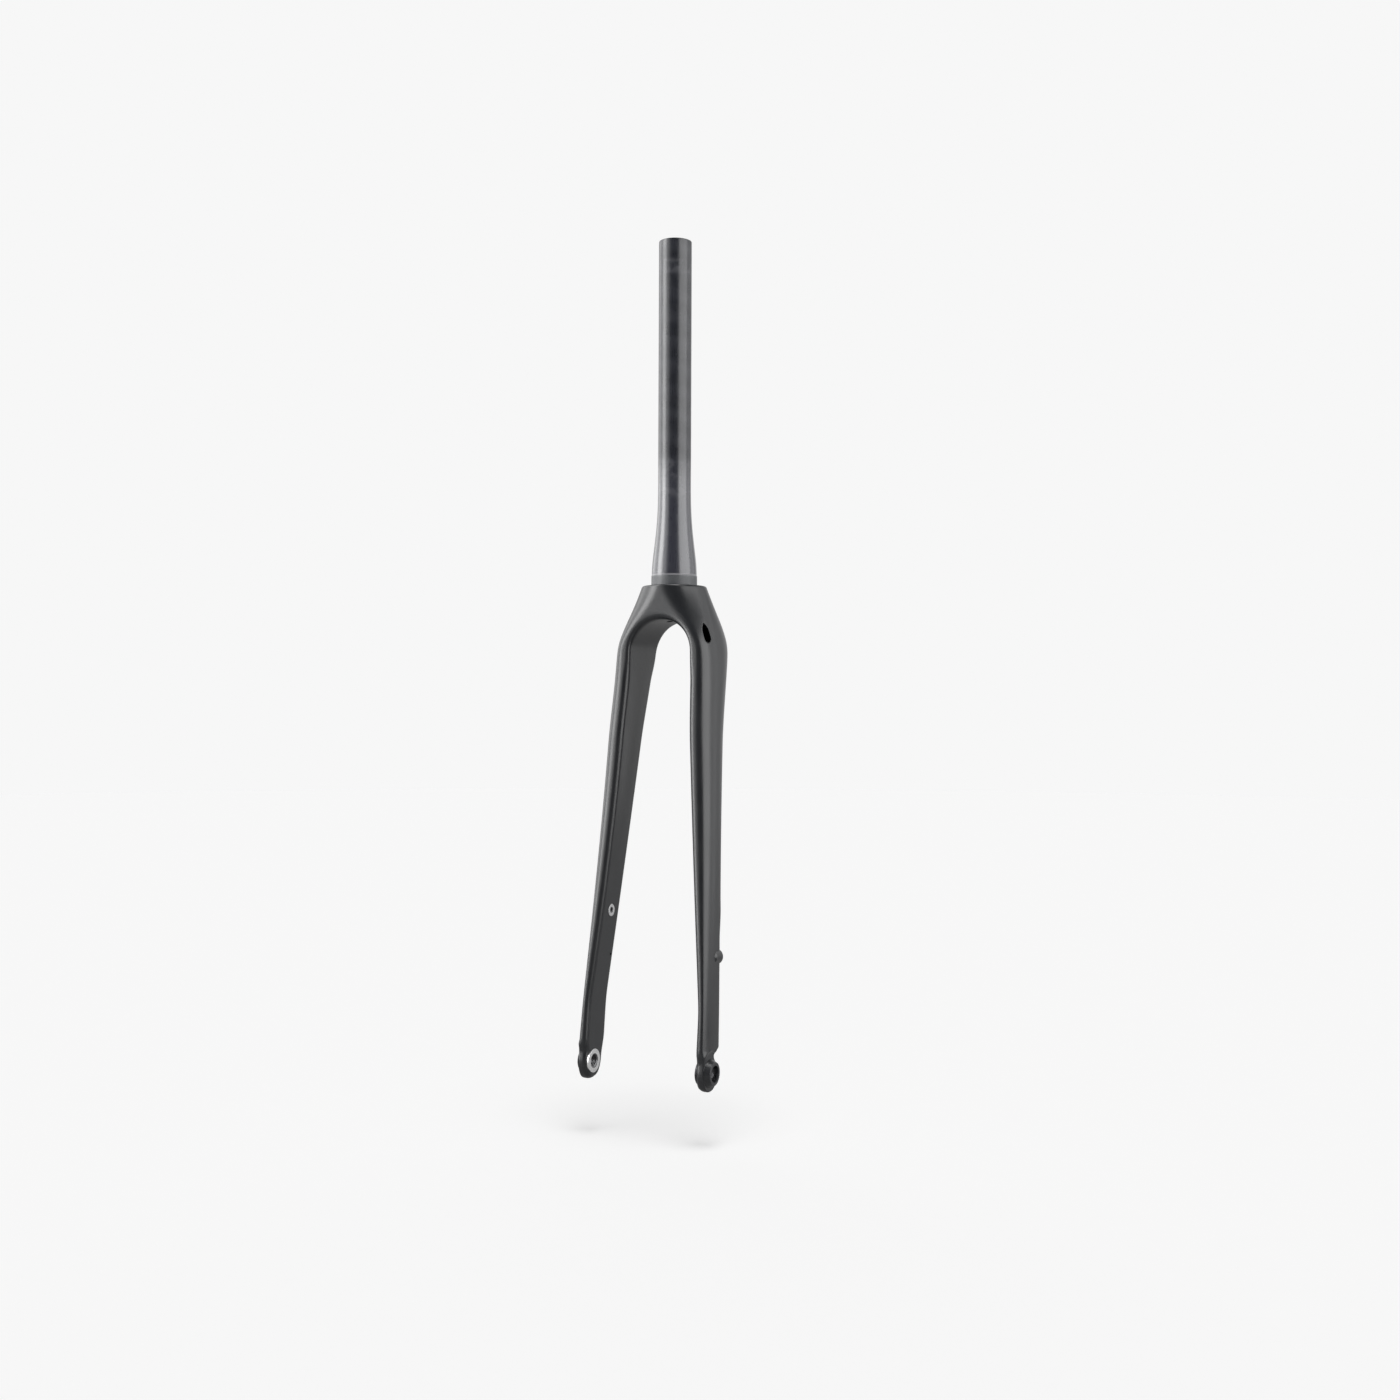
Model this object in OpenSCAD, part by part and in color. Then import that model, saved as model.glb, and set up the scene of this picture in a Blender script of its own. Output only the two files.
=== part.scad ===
// Bicycle fork: a tapered carbon steerer tube bonded into a moulded crown with two hollow
// legs, metal inserts for a 12 mm through-axle, a flat disc-brake mount and mudguard eyelets.
// Origin on the steerer axis at the crown ledge, +Z up the steerer, -Y forward,
// +X to the rider's left, which is the brake side.

/* [Steerer tube] */
// Length of the steerer above the crown ledge
steerer_len = 300; // [200:1:350]
// Outside diameter of the straight part
steerer_d = 28.6; // [25.4:0.1:31.8]
// Wall of the straight part
steerer_wall = 2.7; // [2:0.1:4]
// Height above the ledge where the taper runs out
taper_h = 95; // [60:1:140]
// Diameter of the crown race seat
seat_d = 39.8; // [36:0.1:44]
// Height of the crown race seat
seat_h = 9; // [5:0.5:14]
// Step at the top of the crown race seat
seat_step = 0.3; // [0.1:0.05:0.6]
// Depth of the seat's foot in the crown
seat_foot = 0.5; // [0.2:0.1:0.8]
// Width of the relief groove around the seat's foot
seat_groove = 0.6; // [0.6:0.1:1]
// Wall of the tube at the seat
seat_wall = 3.4; // [2.5:0.1:5]
// Diameter of the tube's root inside the crown
root_d = 37; // [32:0.1:38]
// Length of the tube's root inside the crown
root_len = 21; // [14:1:23]

/* [Crown] */
// Diameter of the flat ledge under the crown race
ledge_d = 56.4; // [52:0.1:60]
// Radius of the ledge's edge
ledge_edge = 1.5; // [0.5:0.1:3]
// Width over the legs at the shoulders
shoulder_w = 92.6; // [86:0.2:102]
// Depth below the ledge of the shoulders
shoulder_h = 47.4; // [42:0.2:56]
// How softly the flare turns into the leg at the shoulder
shoulder_soft = 6.8; // [2:0.2:12]
// Fore and aft depth of the crown at the shoulders
crown_depth = 55.2; // [50:0.2:60]

/* [Wheel arch] */
// Clear width between the legs where the arch begins
arch_w = 56.8; // [50:0.2:62]
// Depth below the ledge of the arch's highest point
arch_top = 30; // [27:0.5:34]
// Depth below the ledge where the arch begins
arch_base = 58; // [54:0.5:70]
// Radius of the arch's front and rear rims beside the legs
rim_r = 6; // [3:0.5:7]
// Height of these rims over the arch's highest point
rim_top = 11.5; // [8:0.5:14]

/* [Legs] */
// Distance from the ledge down to the axle
axle_drop = 406.7; // [380:0.5:430]
// Offset of the axle in front of the steerer axis
rake = 49; // [40:0.5:56]
// Depth below the ledge where the leg's inner face becomes upright
tip_h = 355; // [330:1:365]
// Width over the legs where their lines end above the axle
tip_w = 122.6; // [118:0.2:128]
// Fore and aft depth of the leg at its tip
tip_depth = 33.6; // [30:0.2:37]
// Radius of the leg's inner edges at the tip
tip_edge = 5; // [2:0.5:6]
// Wall of the hollow legs
leg_wall = 3; // [2:0.1:4]

/* [Leg ends] */
// Width between the inner faces, for the hub
hub_w = 100; // [95:0.5:110]
// Thickness of the brake-side leg end over its axle boss
end_t = 14; // [12:0.5:18]
// Thickness of the drive-side leg end over its axle boss
thread_t = 11.2; // [10.5:0.1:14]
// Thickness of a leg end in the scoop round its axle boss
plate_t = 9.2; // [7.5:0.1:10]
// Radius of the scoop round the axle boss
scoop_r = 20; // [18:0.5:22]
// Radius of the scoop's hollow edge
scoop_edge = 5; // [3:0.5:7]
// Distance of the leg end's middle behind the axle
end_back = 2.8; // [0:0.1:4]
// Fore and aft depth of the rounded leg end
eye_d = 27.6; // [27:0.2:32]
// Distance from the axle down to the bottom of the leg end
eye_low = 15.6; // [14:0.2:20]
// Radius of the leg end's outer edge
eye_edge = 4; // [2:0.5:5]
// Diameter of the axle boss at its face
boss_d = 19; // [17:0.5:22]
// Diameter of the axle boss at its foot
boss_foot_d = 24.6; // [22:0.2:26]

/* [Through-axle] */
// Diameter of the through-axle
axle_d = 12; // [12:0.5:15]
// Clearance of the axle in its plain bore
axle_gap = 0.1; // [0.05:0.05:0.3]
// Pitch of the axle thread
axle_pitch = 1.5; // [1:0.25:1.75]
// Diameter of the insert's flange
flange_d = 20; // [18:0.5:22]
// Thickness of the insert's flange
flange_t = 1.6; // [1:0.1:2.5]
// Diameter of the insert's body
insert_d = 16; // [15:0.5:17]
// How far the inserts' flanges stand out of the carbon
proud = 0.8; // [0.2:0.1:1]
// Depth of the axle head's recess in the brake-side boss
head_recess = 2.5; // [1:0.5:4]

/* [Flat brake mount] */
// Distance between the two mounting holes
mount_pitch = 70; // [66:0.5:74]
// Height of the lower hole above the axle
mount_h = 22.6; // [22:0.2:28]
// Sideways position of the mounting holes
mount_x = 53; // [51:0.5:55]
// Forward position of the mount's face at the lower hole
mount_low_f = 32; // [30:0.2:34]
// Forward position of the mount's face at the upper hole
mount_up_f = 24.1; // [22:0.1:26]
// Diameter of a mounting boss
mount_d = 13.2; // [12:0.2:15]
// Diameter of a mounting insert
mount_insert_d = 9; // [8:0.5:10]
// Length of a mounting insert
mount_insert_len = 12; // [9:0.5:14]
// How far the mounting bosses stand behind the flattened back of the leg
mount_proud = 1.2; // [0.5:0.1:2]
// Height above the axle of the notch below the mount
notch_h = 13.7; // [12:0.1:16]
// Forward position of the bottom of the notch
notch_f = 41; // [38:0.2:43]
// Height of the notch's upper side
notch_rise = 6; // [4:0.5:8]
// Height of the notch's lower side
notch_fall = 9.5; // [7:0.5:11]

/* [Mudguard eyelets] */
// Height of the eyelets above the axle
eyelet_h = 127; // [110:1:150]
// Diameter of the eyelet's flange
eyelet_flange_d = 10.6; // [9:0.1:12]
// Thickness of the eyelet's flange
eyelet_flange_t = 0.8; // [0.5:0.1:1.5]
// Depth of the flat that is cut into the leg for the eyelet's flange
eyelet_spot = 0.6; // [0.6:0.1:1]
// Diameter of the eyelet's body
eyelet_d = 7; // [6.5:0.1:8]
// Length of the eyelet's body
eyelet_len = 7; // [5:0.5:8]

/* [Screw threads] */
// Diameter of the mounting and mudguard screws
screw_d = 5; // [4:0.5:5]
// Pitch of these screws
screw_pitch = 0.8; // [0.5:0.05:1]

/* [Hose route] */
// Depth below the ledge of the hose port's middle
port_h = 41.7; // [38:0.1:46]
// Direction of the port, turned outward from straight ahead
port_turn = 40; // [30:1:50]
// Distance of the port from the steerer axis, sideways to its direction
port_side = 18.5; // [16:0.1:21]
// Lean of the port's outline
port_lean = 12; // [0:1:20]
// Height of the port
port_len = 17; // [13:0.5:20]
// Radius of the port's round lower end
port_r = 3.1; // [2.8:0.05:3.4]
// Height of the port's parallel part
port_flat = 4.5; // [2:0.5:7]
// Height above the axle of the hose exit behind the brake leg
exit_h = 142; // [136:1:160]
// Diameter of the round ends of the hose exit
exit_d = 6; // [5:0.5:7]
// Distance between the round ends of the hose exit
exit_len = 6; // [3:0.5:8]
// Diameter of the drain hole in the drive-side leg
drain_d = 2.4; // [1.5:0.1:3]
// Height of the drain hole above the axle
drain_h = 88; // [75:1:100]
// Diameter of the hole under the crown
under_d = 13; // [8:0.5:16]

/* [Hidden] */

round_fn = 64;
eps = 0.01;
snap = 0.0001;

// A tapped hole is modelled at the thread's minor diameter.
minor_share = 1.0825;
axle_minor_r = (axle_d - minor_share * axle_pitch) / 2;
axle_bore_r = axle_d / 2 + axle_gap;
screw_minor_r = (screw_d - minor_share * screw_pitch) / 2;

steerer_r = steerer_d / 2;
seat_r = seat_d / 2;
root_r = root_d / 2;
ledge_r = ledge_d / 2;
hub_x = hub_w / 2;
face_x = hub_x + proud;
eye_r = eye_d / 2;
axle_z = -axle_drop;

// Small shared shape helpers.
function mix(a, b, t) = a + (b - a) * t;
function unit(t) = max(0, min(1, t));
function smooth(t) = let (u = unit(t)) u * u * (3 - 2 * u);
function root(t) = sqrt(max(0, t));
// Minimum of two lines with a rounded corner, k wide.
function soft_min(a, b, k) = let (u = max(0, k - abs(a - b)) / k) min(a, b) - u * u * k / 4;
// Shortfall of a quarter round of radius r at distance d past its start.
function quarter(r, d) = let (u = unit(d / r)) r * (1 - root(1 - u * u));

// Steerer taper: the radius eases from the seat to the straight tube.
taper_power = 1.65;
taper_steps = 12;
function taper_r(t) = mix(steerer_r, seat_r - seat_step, smooth(pow(t, taper_power)));
function taper_bore_r(t) = mix(steerer_r - steerer_wall, seat_r - seat_wall, smooth(pow(t, taper_power)));
top_chamfer = 0.6;

// Leg shape, as functions of the depth h below the ledge.
line_lead = 7.5;
line_soft = 135;
spread_power = 1.4;
depth_power = 2.7;
arch_rise = arch_base - arch_top;
front_power = 1.9;
leg_power = 2.42;
tip_power = 4.5;
back_power = 5;
end_start = axle_drop - eye_r * 1.5;
end_full = axle_drop - eye_r * 0.75;

function leg_share(h) = unit((h - shoulder_h) / (tip_h - shoulder_h));
function arch_share(h) = unit((h - arch_base) / (tip_h - arch_base));
function edge_loss(h) = h < ledge_edge ? quarter(ledge_edge, ledge_edge - h) : 0;
// Middle of the legs: a straight line that meets the steerer axis just above the ledge and
// leaves it softly.
function forward(h) = (rake - end_back) * (h + line_lead) / (axle_drop + line_lead) * smooth(h / line_soft);
function edge(h) = mix(rim_r, tip_edge, arch_share(h));

// Inner face: an elliptical arch, then a leg that spreads down to the hub width.
function x_in(h) =
    h <= arch_top ? 0 :
    h < arch_base ? arch_w / 2 * root(1 - pow((arch_base - h) / arch_rise, 2)) :
    mix(arch_w / 2, face_x, pow(arch_share(h), spread_power));
// Start of the rim's round: the same ellipse, one rim wider and one rim higher.
function x_rim(h) =
    h <= arch_top - rim_top ? 0 :
    h < arch_base ? (arch_w / 2 + rim_r) * root(1 - pow((arch_base - h) / (arch_rise + rim_top), 2)) :
    x_in(h) + edge(h);
// Centre of the outer curve, which leaves the steerer axis softly.
function x_mid(h) = h < arch_base ? (arch_w / 2 + rim_r) * smooth(h / arch_base) : x_rim(h);
// Outer face: the crown's flare, the leg's line, then the rounded leg end.
function x_flare(h) = mix(ledge_r, shoulder_w / 2, h / shoulder_h) - edge_loss(h);
function x_leg(h) = mix(shoulder_w / 2, tip_w / 2, (h - shoulder_h) / (end_start - shoulder_h));
function x_end(h) = tip_w / 2 - quarter(eye_edge, h - axle_drop - eye_low + eye_edge);
function x_out(h) = h < end_start ? soft_min(x_flare(h), x_leg(h), shoulder_soft) : x_end(h);

// Half of the fore and aft depth: crown, leg, then the round eye about the axle.
function half_leg(h) =
    h < shoulder_h ? mix(ledge_r, crown_depth / 2, h / shoulder_h) - edge_loss(h) :
    mix(tip_depth / 2, crown_depth / 2, pow(1 - leg_share(h), depth_power));
function half_eye(h) = eye_r * root(1 - pow((h - axle_drop) / eye_low, 2));
function half_front(h) =
    h < end_start ? half_leg(h) :
    h < axle_drop ? mix(tip_depth / 2, eye_r, smooth((h - end_start) / (axle_drop - end_start))) :
    half_eye(h);
// The back of the brake leg is flattened for the mount, and a bowed notch parts it from the leg end.
notch_at = axle_drop - notch_h;
notch_in = notch_f - rake + end_back + eye_r;
flat_full = axle_drop - mount_h - mount_pitch - 15;
flat_blend = 35;
function flat_share(h) = h < notch_at ? smooth((h - flat_full + flat_blend) / flat_blend) : 0;
function mount_plane(h) = mix(mount_low_f, mount_up_f, (axle_drop - mount_h - h) / mount_pitch);
function half_rear(h, brake) =
    let (
        d = h - notch_at,
        side = d < 0 ? notch_rise : notch_fall,
        flat = forward(h) - mount_plane(h) - mount_proud,
        notch = forward(h) - notch_f + notch_in * d * d / (side * side)
    )
    brake ? min(mix(half_front(h), min(half_front(h), flat), flat_share(h)), notch) : half_front(h);
function power_at(h) =
    h < shoulder_h ? mix(front_power, leg_power, h / shoulder_h) :
    mix(leg_power, tip_power, smooth((h - end_start) / (end_full - end_start)));

function back_power_at(h, brake) = mix(power_at(h), back_power, brake ? flat_share(h) : 0);

// Depth below the ledge of every section, closer together where the form turns quickly.
arch_steps = 9;
crown_hs = [0, ledge_edge * 0.3, ledge_edge, 8, 15];
rim_hs = [for (i = [0 : 4]) arch_top - rim_top + rim_top * pow(i / 5, 1.6)];
arch_hs = [for (i = [0 : arch_steps]) arch_base - arch_rise * sin(90 * (1 - i / arch_steps))];
leg_gap = 24;
leg_count = ceil((end_start - arch_base) / leg_gap);
leg_hs = [for (i = [1 : leg_count]) mix(arch_base, end_start, i / leg_count)];
neck_count = 10;
neck_hs = [for (i = [1 : neck_count]) mix(end_start, axle_drop, i / neck_count)];
eye_steps = 7;
eye_hs = [for (i = [1 : eye_steps]) axle_drop + eye_low * sin(86 * i / eye_steps)];
section_hs = concat(crown_hs, rim_hs, arch_hs, leg_hs, neck_hs, eye_hs);

// One section has the outer curve's points, the rim's round, and one point on the inner face.
outer_n = 8;
rim_n = 3;
half_n = outer_n + rim_n;
ring_n = 2 * half_n + 2;

// Forward reach of the section at sideways position x, before the rim is rounded.
function reach(x, h, half, p) =
    let (mid = x_mid(h), u = max(0, x - mid) / (x_out(h) - mid))
    half * pow(max(0, 1 - pow(unit(u), p)), 1 / p);
// Share of the rim's round that is used up at x: 0 on the outer line, 1 on the arch itself.
function rim_share(x, h, t) =
    h >= arch_base ? t :
    let (
        up = arch_base - h,
        g = norm([x / (arch_w / 2 + rim_r), up / (arch_rise + rim_top)]),
        g_in = norm([x / (arch_w / 2), up / arch_rise])
    ) unit((1 - g) / max(snap, g_in - g));
function half_point(k, h, half, p) =
    let (
        rim = x_rim(h),
        inner = x_in(h),
        t = k <= outer_n ? 0 : sin(90 * (k - outer_n) / rim_n),
        x = k <= outer_n ? rim + (x_out(h) - rim) * cos(90 * k / outer_n) : rim - (rim - inner) * t,
        round_y = min(h < arch_base ? mix(rim_r, rim_top, (arch_base - h) / (arch_rise + rim_top)) : edge(h), 0.8 * half),
        drop = k <= outer_n ? 0 : quarter(round_y, round_y * rim_share(x, h, t))
    ) [x < snap ? 0 : x, k == 0 ? 0 : reach(x, h, half, p) - drop];

function section(h, brake) =
    let (
        f = forward(h),
        front = [for (k = [0 : half_n]) half_point(k, h, half_front(h), power_at(h))],
        rear = [for (k = [half_n : -1 : 1]) half_point(k, h, half_rear(h, brake), back_power_at(h, brake))],
        inner = x_in(h)
    ) concat(
        [for (p = front) [p[0], -(f + p[1]), -h]],
        [[inner < snap ? 0 : inner, -f, -h]],
        [for (p = rear) [p[0], -(f - p[1]), -h]]
    );

// Both halves share the points that lie on the plane between them.
sections_n = len(section_hs);
half_count = sections_n * ring_n;
function half_points(side) =
    [for (h = section_hs) each [for (p = section(h, side > 0)) [side * p[0], p[1], p[2]]]];
brake_points = half_points(1);
all_points = concat(brake_points, half_points(-1));
// Above the rim the points of its round fall together, so they share one index.
function merged(k, h) =
    h > arch_top - rim_top + snap ? k :
    k > outer_n && k <= half_n ? outer_n :
    k > half_n && k < ring_n - outer_n ? ring_n - outer_n : k;
function index_of(i, k, side) =
    let (
        kk = merged(k % ring_n, section_hs[i]),
        own = i * ring_n + kk,
        shared = brake_points[own][0] == 0
    ) side > 0 || shared ? own : own + half_count;
function on_plane(i) = all_points[i][0] == 0;
function is_face(f) =
    f[0] != f[1] && f[1] != f[2] && f[2] != f[0]
    && !(on_plane(f[0]) && on_plane(f[1]) && on_plane(f[2]));
function strip_faces(side) =
    [for (i = [0 : sections_n - 2]) for (k = [0 : ring_n - 1])
        let (
            a = index_of(i, k, side), b = index_of(i, k + 1, side),
            c = index_of(i + 1, k + 1, side), d = index_of(i + 1, k, side)
        ) each (side > 0 ? [[c, b, a], [d, c, a]] : [[a, b, c], [a, c, d]])];
function cap_ring(i, side) = [for (k = [0 : ring_n - 1]) index_of(i, k, side)];
function tidy_ring(r) = [for (k = [0 : len(r) - 1]) if (r[k] != r[(k + 1) % len(r)]) r[k]];
function fan(r, side) =
    [for (k = [1 : len(r) - 2]) side > 0 ? [r[0], r[k], r[k + 1]] : [r[k + 1], r[k], r[0]]];
function turned(f) = [f[2], f[1], f[0]];
shell_faces = [for (side = [1, -1]) each concat(
    strip_faces(side),
    fan(tidy_ring(cap_ring(0, side)), side),
    [for (f = fan(tidy_ring(cap_ring(sections_n - 1, side)), side)) turned(f)]
)];

// Hollow of one leg: the section drawn in by the wall, closed to a narrow end above and below.
cave_n = 12;
cave_top = arch_top + 6;
cave_ends = 8;
brake_cave_low = axle_drop - mount_h - mount_pitch - mount_d;
drive_cave_low = tip_h + 8;
cave_gap = 45;
function cave_hs(low) =
    let (n = ceil((low - cave_top - 3 * cave_ends) / cave_gap))
    concat(
        [cave_top, cave_top + cave_ends],
        [for (i = [0 : n]) mix(cave_top + 2 * cave_ends, low - cave_ends, i / n)],
        [low]
    );
function cave_scale(h, low) = (h == cave_top || h == low) ? 0.45 : h == cave_top + cave_ends ? 0.85 : 1;
function cave_section(h, low, brake) =
    let (
        s = cave_scale(h, low),
        inner = x_in(h) + leg_wall,
        outer = x_out(h) - leg_wall,
        half = min(half_leg(h), half_rear(h, brake)) - leg_wall,
        mid = (inner + outer) / 2
    ) [for (k = [0 : cave_n - 1])
        let (a = 360 * k / cave_n)
        [mid + s * (outer - inner) / 2 * cos(a), -(forward(h) + s * half * sin(a)), -h]];

module leg_hollow(low, brake) {
    hs = cave_hs(low);
    n = len(hs);
    points = [for (h = hs) each cave_section(h, low, brake)];
    sides = [for (i = [0 : n - 2]) for (k = [0 : cave_n - 1])
        let (a = i * cave_n + k, b = i * cave_n + (k + 1) % cave_n)
        each [[b + cave_n, b, a], [a + cave_n, b + cave_n, a]]];
    cap = [for (k = [0 : cave_n - 1]) k];
    polyhedron(points, concat(sides, fan(cap, 1), [for (f = fan(cap, -1)) f + [1, 1, 1] * (n - 1) * cave_n]));
}

// Places its children on the axle line at sideways position x, with their Z pointing outward.
module on_axle(x) {
    translate([x, -rake, axle_z])
        rotate([0, x > 0 ? 90 : -90, 0])
            children();
}

// Brake mount: both faces lie in one plane, and its screws stand square to it.
mount_tilt = atan((mount_low_f - mount_up_f) / mount_pitch);
module on_mount(upper) {
    f = upper ? mount_up_f : mount_low_f;
    h = axle_drop - mount_h - (upper ? mount_pitch : 0);
    translate([mount_x, -f, -h])
        rotate([-90 - mount_tilt, 0, 0])
            children();
}

// Eyelets stand on flats in the inner faces, with their Z pointing into the leg.
eyelet_depth = axle_drop - eyelet_h;
module on_eyelet(side) {
    translate([side * (x_in(eyelet_depth) + eyelet_spot), -forward(eyelet_depth), -eyelet_depth])
        rotate([0, side * 90, 0])
            children();
}

// Carbon body
module axle_boss(t) {
    translate([0, 0, plate_t - eye_edge])
        cylinder(r = boss_foot_d / 2, h = eye_edge, $fn = round_fn);
    translate([0, 0, plate_t])
        cylinder(r1 = boss_foot_d / 2, r2 = boss_d / 2, h = t - plate_t, $fn = round_fn);
}

// The scoop leaves a plain face round the boss and rises to the leg in a hollow edge.
module scoop() {
    edge_steps = 5;
    rotate_extrude($fn = round_fn)
        polygon(concat(
            [[0, end_t + scoop_edge], [0, plate_t]],
            [for (i = [0 : edge_steps]) [scoop_r - scoop_edge * (1 - sin(90 * i / edge_steps)),
                plate_t + scoop_edge * (1 - cos(90 * i / edge_steps))]],
            [[scoop_r, end_t + scoop_edge]]
        ));
}

mount_tail = 6;
module mount_boss(upper) {
    on_mount(upper)
        translate([0, 0, -mount_insert_len]) {
            cylinder(r = mount_d / 2, h = mount_insert_len, $fn = round_fn);
            translate([0, 0, -mount_tail])
                cylinder(r1 = mount_d / 8, r2 = mount_d / 2, h = mount_tail, $fn = round_fn);
        }
}

module seat_hole(r, depth) {
    translate([0, 0, -eps])
        cylinder(r = r, h = depth + eps, $fn = round_fn);
}

// The port's outline: a round lower end, a parallel part, and two bowed sides that meet in a point.
port_steps = 4;
function port_side_x(t) = port_r * cos(90 * pow(t, 1.3));
module port_outline() {
    rise = port_len - port_r - port_flat;
    side = [for (i = [0 : port_steps]) [port_side_x(i / port_steps), port_flat + rise * i / port_steps]];
    foot = [for (i = [0 : 2 * port_steps]) port_r * [-cos(90 * i / port_steps), -sin(90 * i / port_steps)]];
    polygon(concat(
        side,
        [for (i = [port_steps - 1 : -1 : 0]) [-side[i][0], side[i][1]]],
        foot
    ));
}

module hose_port() {
    depth = shoulder_w;
    centre = port_len / 2 - port_r;
    translate([0, 0, -port_h])
        rotate([0, 0, port_turn])
            translate([port_side, -crown_depth / 4, 0])
                rotate([90, 0, 0])
                    rotate([0, 0, port_lean])
                        translate([0, -centre, 0])
                            linear_extrude(height = depth)
                                port_outline();
}

module hose_exit() {
    h = axle_drop - exit_h;
    middle = (x_in(h) + x_out(h)) / 2;
    for (step = [-1, 1])
        translate([middle, -forward(h), -h + step * exit_len / 2])
            rotate([-90, 0, 0])
                cylinder(r = exit_d / 2, h = crown_depth, $fn = round_fn);
    translate([middle - exit_d / 2, -forward(h), -h - exit_len / 2])
        cube([exit_d, crown_depth, exit_len]);
}

module drain_hole() {
    h = axle_drop - drain_h;
    translate([-x_in(h) - 2 * leg_wall, -forward(h) + half_leg(h) - leg_wall - 1.5 * drain_d, -h])
        rotate([0, 90, 0])
            cylinder(r = drain_d / 2, h = 3 * leg_wall, $fn = round_fn);
}

module crown_and_legs() {
    color([0.10, 0.10, 0.11])
        difference() {
            union() {
                difference() {
                    polyhedron(all_points, [for (f = shell_faces) if (is_face(f)) f]);
                    for (side = [-1, 1])
                        on_axle(side * hub_x)
                            scoop();
                }
                on_axle(hub_x)
                    axle_boss(end_t);
                on_axle(-hub_x)
                    axle_boss(thread_t);
                mount_boss(true);
                mount_boss(false);
            }
            // Socket for the steerer's root and the hole below it
            translate([0, 0, -root_len])
                cylinder(r = root_r, h = root_len + 1, $fn = 2 * round_fn);
            translate([0, 0, -seat_foot])
                cylinder(r = seat_r + seat_groove, h = seat_foot + 1, $fn = 2 * round_fn);
            translate([0, 0, -arch_base])
                cylinder(r = under_d / 2, h = arch_base, $fn = round_fn);
            leg_hollow(brake_cave_low, true);
            mirror([1, 0, 0])
                leg_hollow(drive_cave_low, false);
            for (side = [-1, 1])
                on_axle(side * hub_x)
                    seat_hole(flange_d / 2, flange_t);
            on_axle(hub_x) {
                seat_hole(insert_d / 2, end_t - head_recess);
                seat_hole(insert_d / 2 - 1, end_t + 1);
            }
            on_axle(-hub_x)
                seat_hole(insert_d / 2, thread_t + 1);
            for (upper = [true, false])
                on_mount(upper)
                    translate([0, 0, -mount_insert_len])
                        cylinder(r = mount_insert_d / 2, h = mount_insert_len + 1, $fn = round_fn);
            for (side = [-1, 1])
                on_eyelet(side) {
                    translate([0, 0, -2 * eyelet_spot])
                        cylinder(r = eyelet_flange_d / 2, h = 2 * eyelet_spot, $fn = round_fn);
                    seat_hole(eyelet_d / 2, eyelet_len);
                }
            hose_port();
            hose_exit();
            drain_hole();
        }
}

// Steerer tube
module steerer_tube() {
    bore_r = steerer_r - steerer_wall;
    steps = [for (i = [0 : taper_steps]) i / taper_steps];
    taper_foot = seat_h + seat_step;
    outside = concat(
        [[root_r, -root_len], [root_r, -seat_foot], [seat_r, -seat_foot], [seat_r, seat_h]],
        [for (i = [taper_steps : -1 : 0]) [taper_r(steps[i]), mix(taper_h, taper_foot, steps[i])]],
        [[steerer_r, steerer_len - top_chamfer], [steerer_r - top_chamfer, steerer_len]]
    );
    inside = concat(
        [[bore_r + top_chamfer, steerer_len], [bore_r, steerer_len - top_chamfer]],
        [for (t = steps) [taper_bore_r(t), mix(taper_h, taper_foot, t)]],
        [[seat_r - seat_wall, -root_len]]
    );
    color([0.16, 0.17, 0.19])
        rotate_extrude($fn = 2 * round_fn)
            polygon(concat(outside, inside));
}

// Turned sleeve with a flange, a bore and a chamfered mouth, along +Z from its flange's face.
module flanged_sleeve(flange_r, flange, body_r, length, bore_r, mouth) {
    rotate_extrude($fn = round_fn)
        polygon([
            [bore_r + mouth, 0], [flange_r, 0], [flange_r, flange], [body_r, flange],
            [body_r, length], [bore_r + mouth, length], [bore_r, length - mouth], [bore_r, mouth]
        ]);
}

// Axle inserts
axle_mouth = 0.8;
module drive_side_axle_insert() {
    color([0.80, 0.80, 0.82])
        on_axle(-hub_x)
            flanged_sleeve(flange_d / 2, flange_t, insert_d / 2, thread_t, axle_minor_r, axle_mouth);
}

module brake_side_axle_insert() {
    color([0.80, 0.80, 0.82])
        on_axle(hub_x)
            flanged_sleeve(flange_d / 2, flange_t, insert_d / 2, end_t - head_recess, axle_bore_r,
                axle_mouth / 2);
}

// Mudguard eyelets
screw_mouth = 0.5;
module mudguard_eyelet(side) {
    color([0.62, 0.62, 0.64])
        on_eyelet(side)
            translate([0, 0, -eyelet_flange_t])
                flanged_sleeve(eyelet_flange_d / 2, eyelet_flange_t, eyelet_d / 2,
                    eyelet_len + eyelet_flange_t, screw_minor_r, screw_mouth);
}

module mudguard_eyelet_drive_side() {
    mudguard_eyelet(-1);
}

module mudguard_eyelet_brake_side() {
    mudguard_eyelet(1);
}

// Brake mount inserts
module brake_mount_insert(upper) {
    color([0.62, 0.62, 0.64])
        on_mount(upper)
            mirror([0, 0, 1])
                flanged_sleeve(mount_insert_d / 2, screw_mouth, mount_insert_d / 2,
                    mount_insert_len, screw_minor_r, screw_mouth);
}

module brake_mount_insert_upper() {
    brake_mount_insert(true);
}

module brake_mount_insert_lower() {
    brake_mount_insert(false);
}

steerer_tube();
crown_and_legs();
drive_side_axle_insert();
brake_side_axle_insert();
mudguard_eyelet_drive_side();
mudguard_eyelet_brake_side();
brake_mount_insert_upper();
brake_mount_insert_lower();
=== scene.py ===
import math

import bmesh
import bpy
import numpy as np
from mathutils import Matrix, Vector
from mathutils.bvhtree import BVHTree


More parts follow.
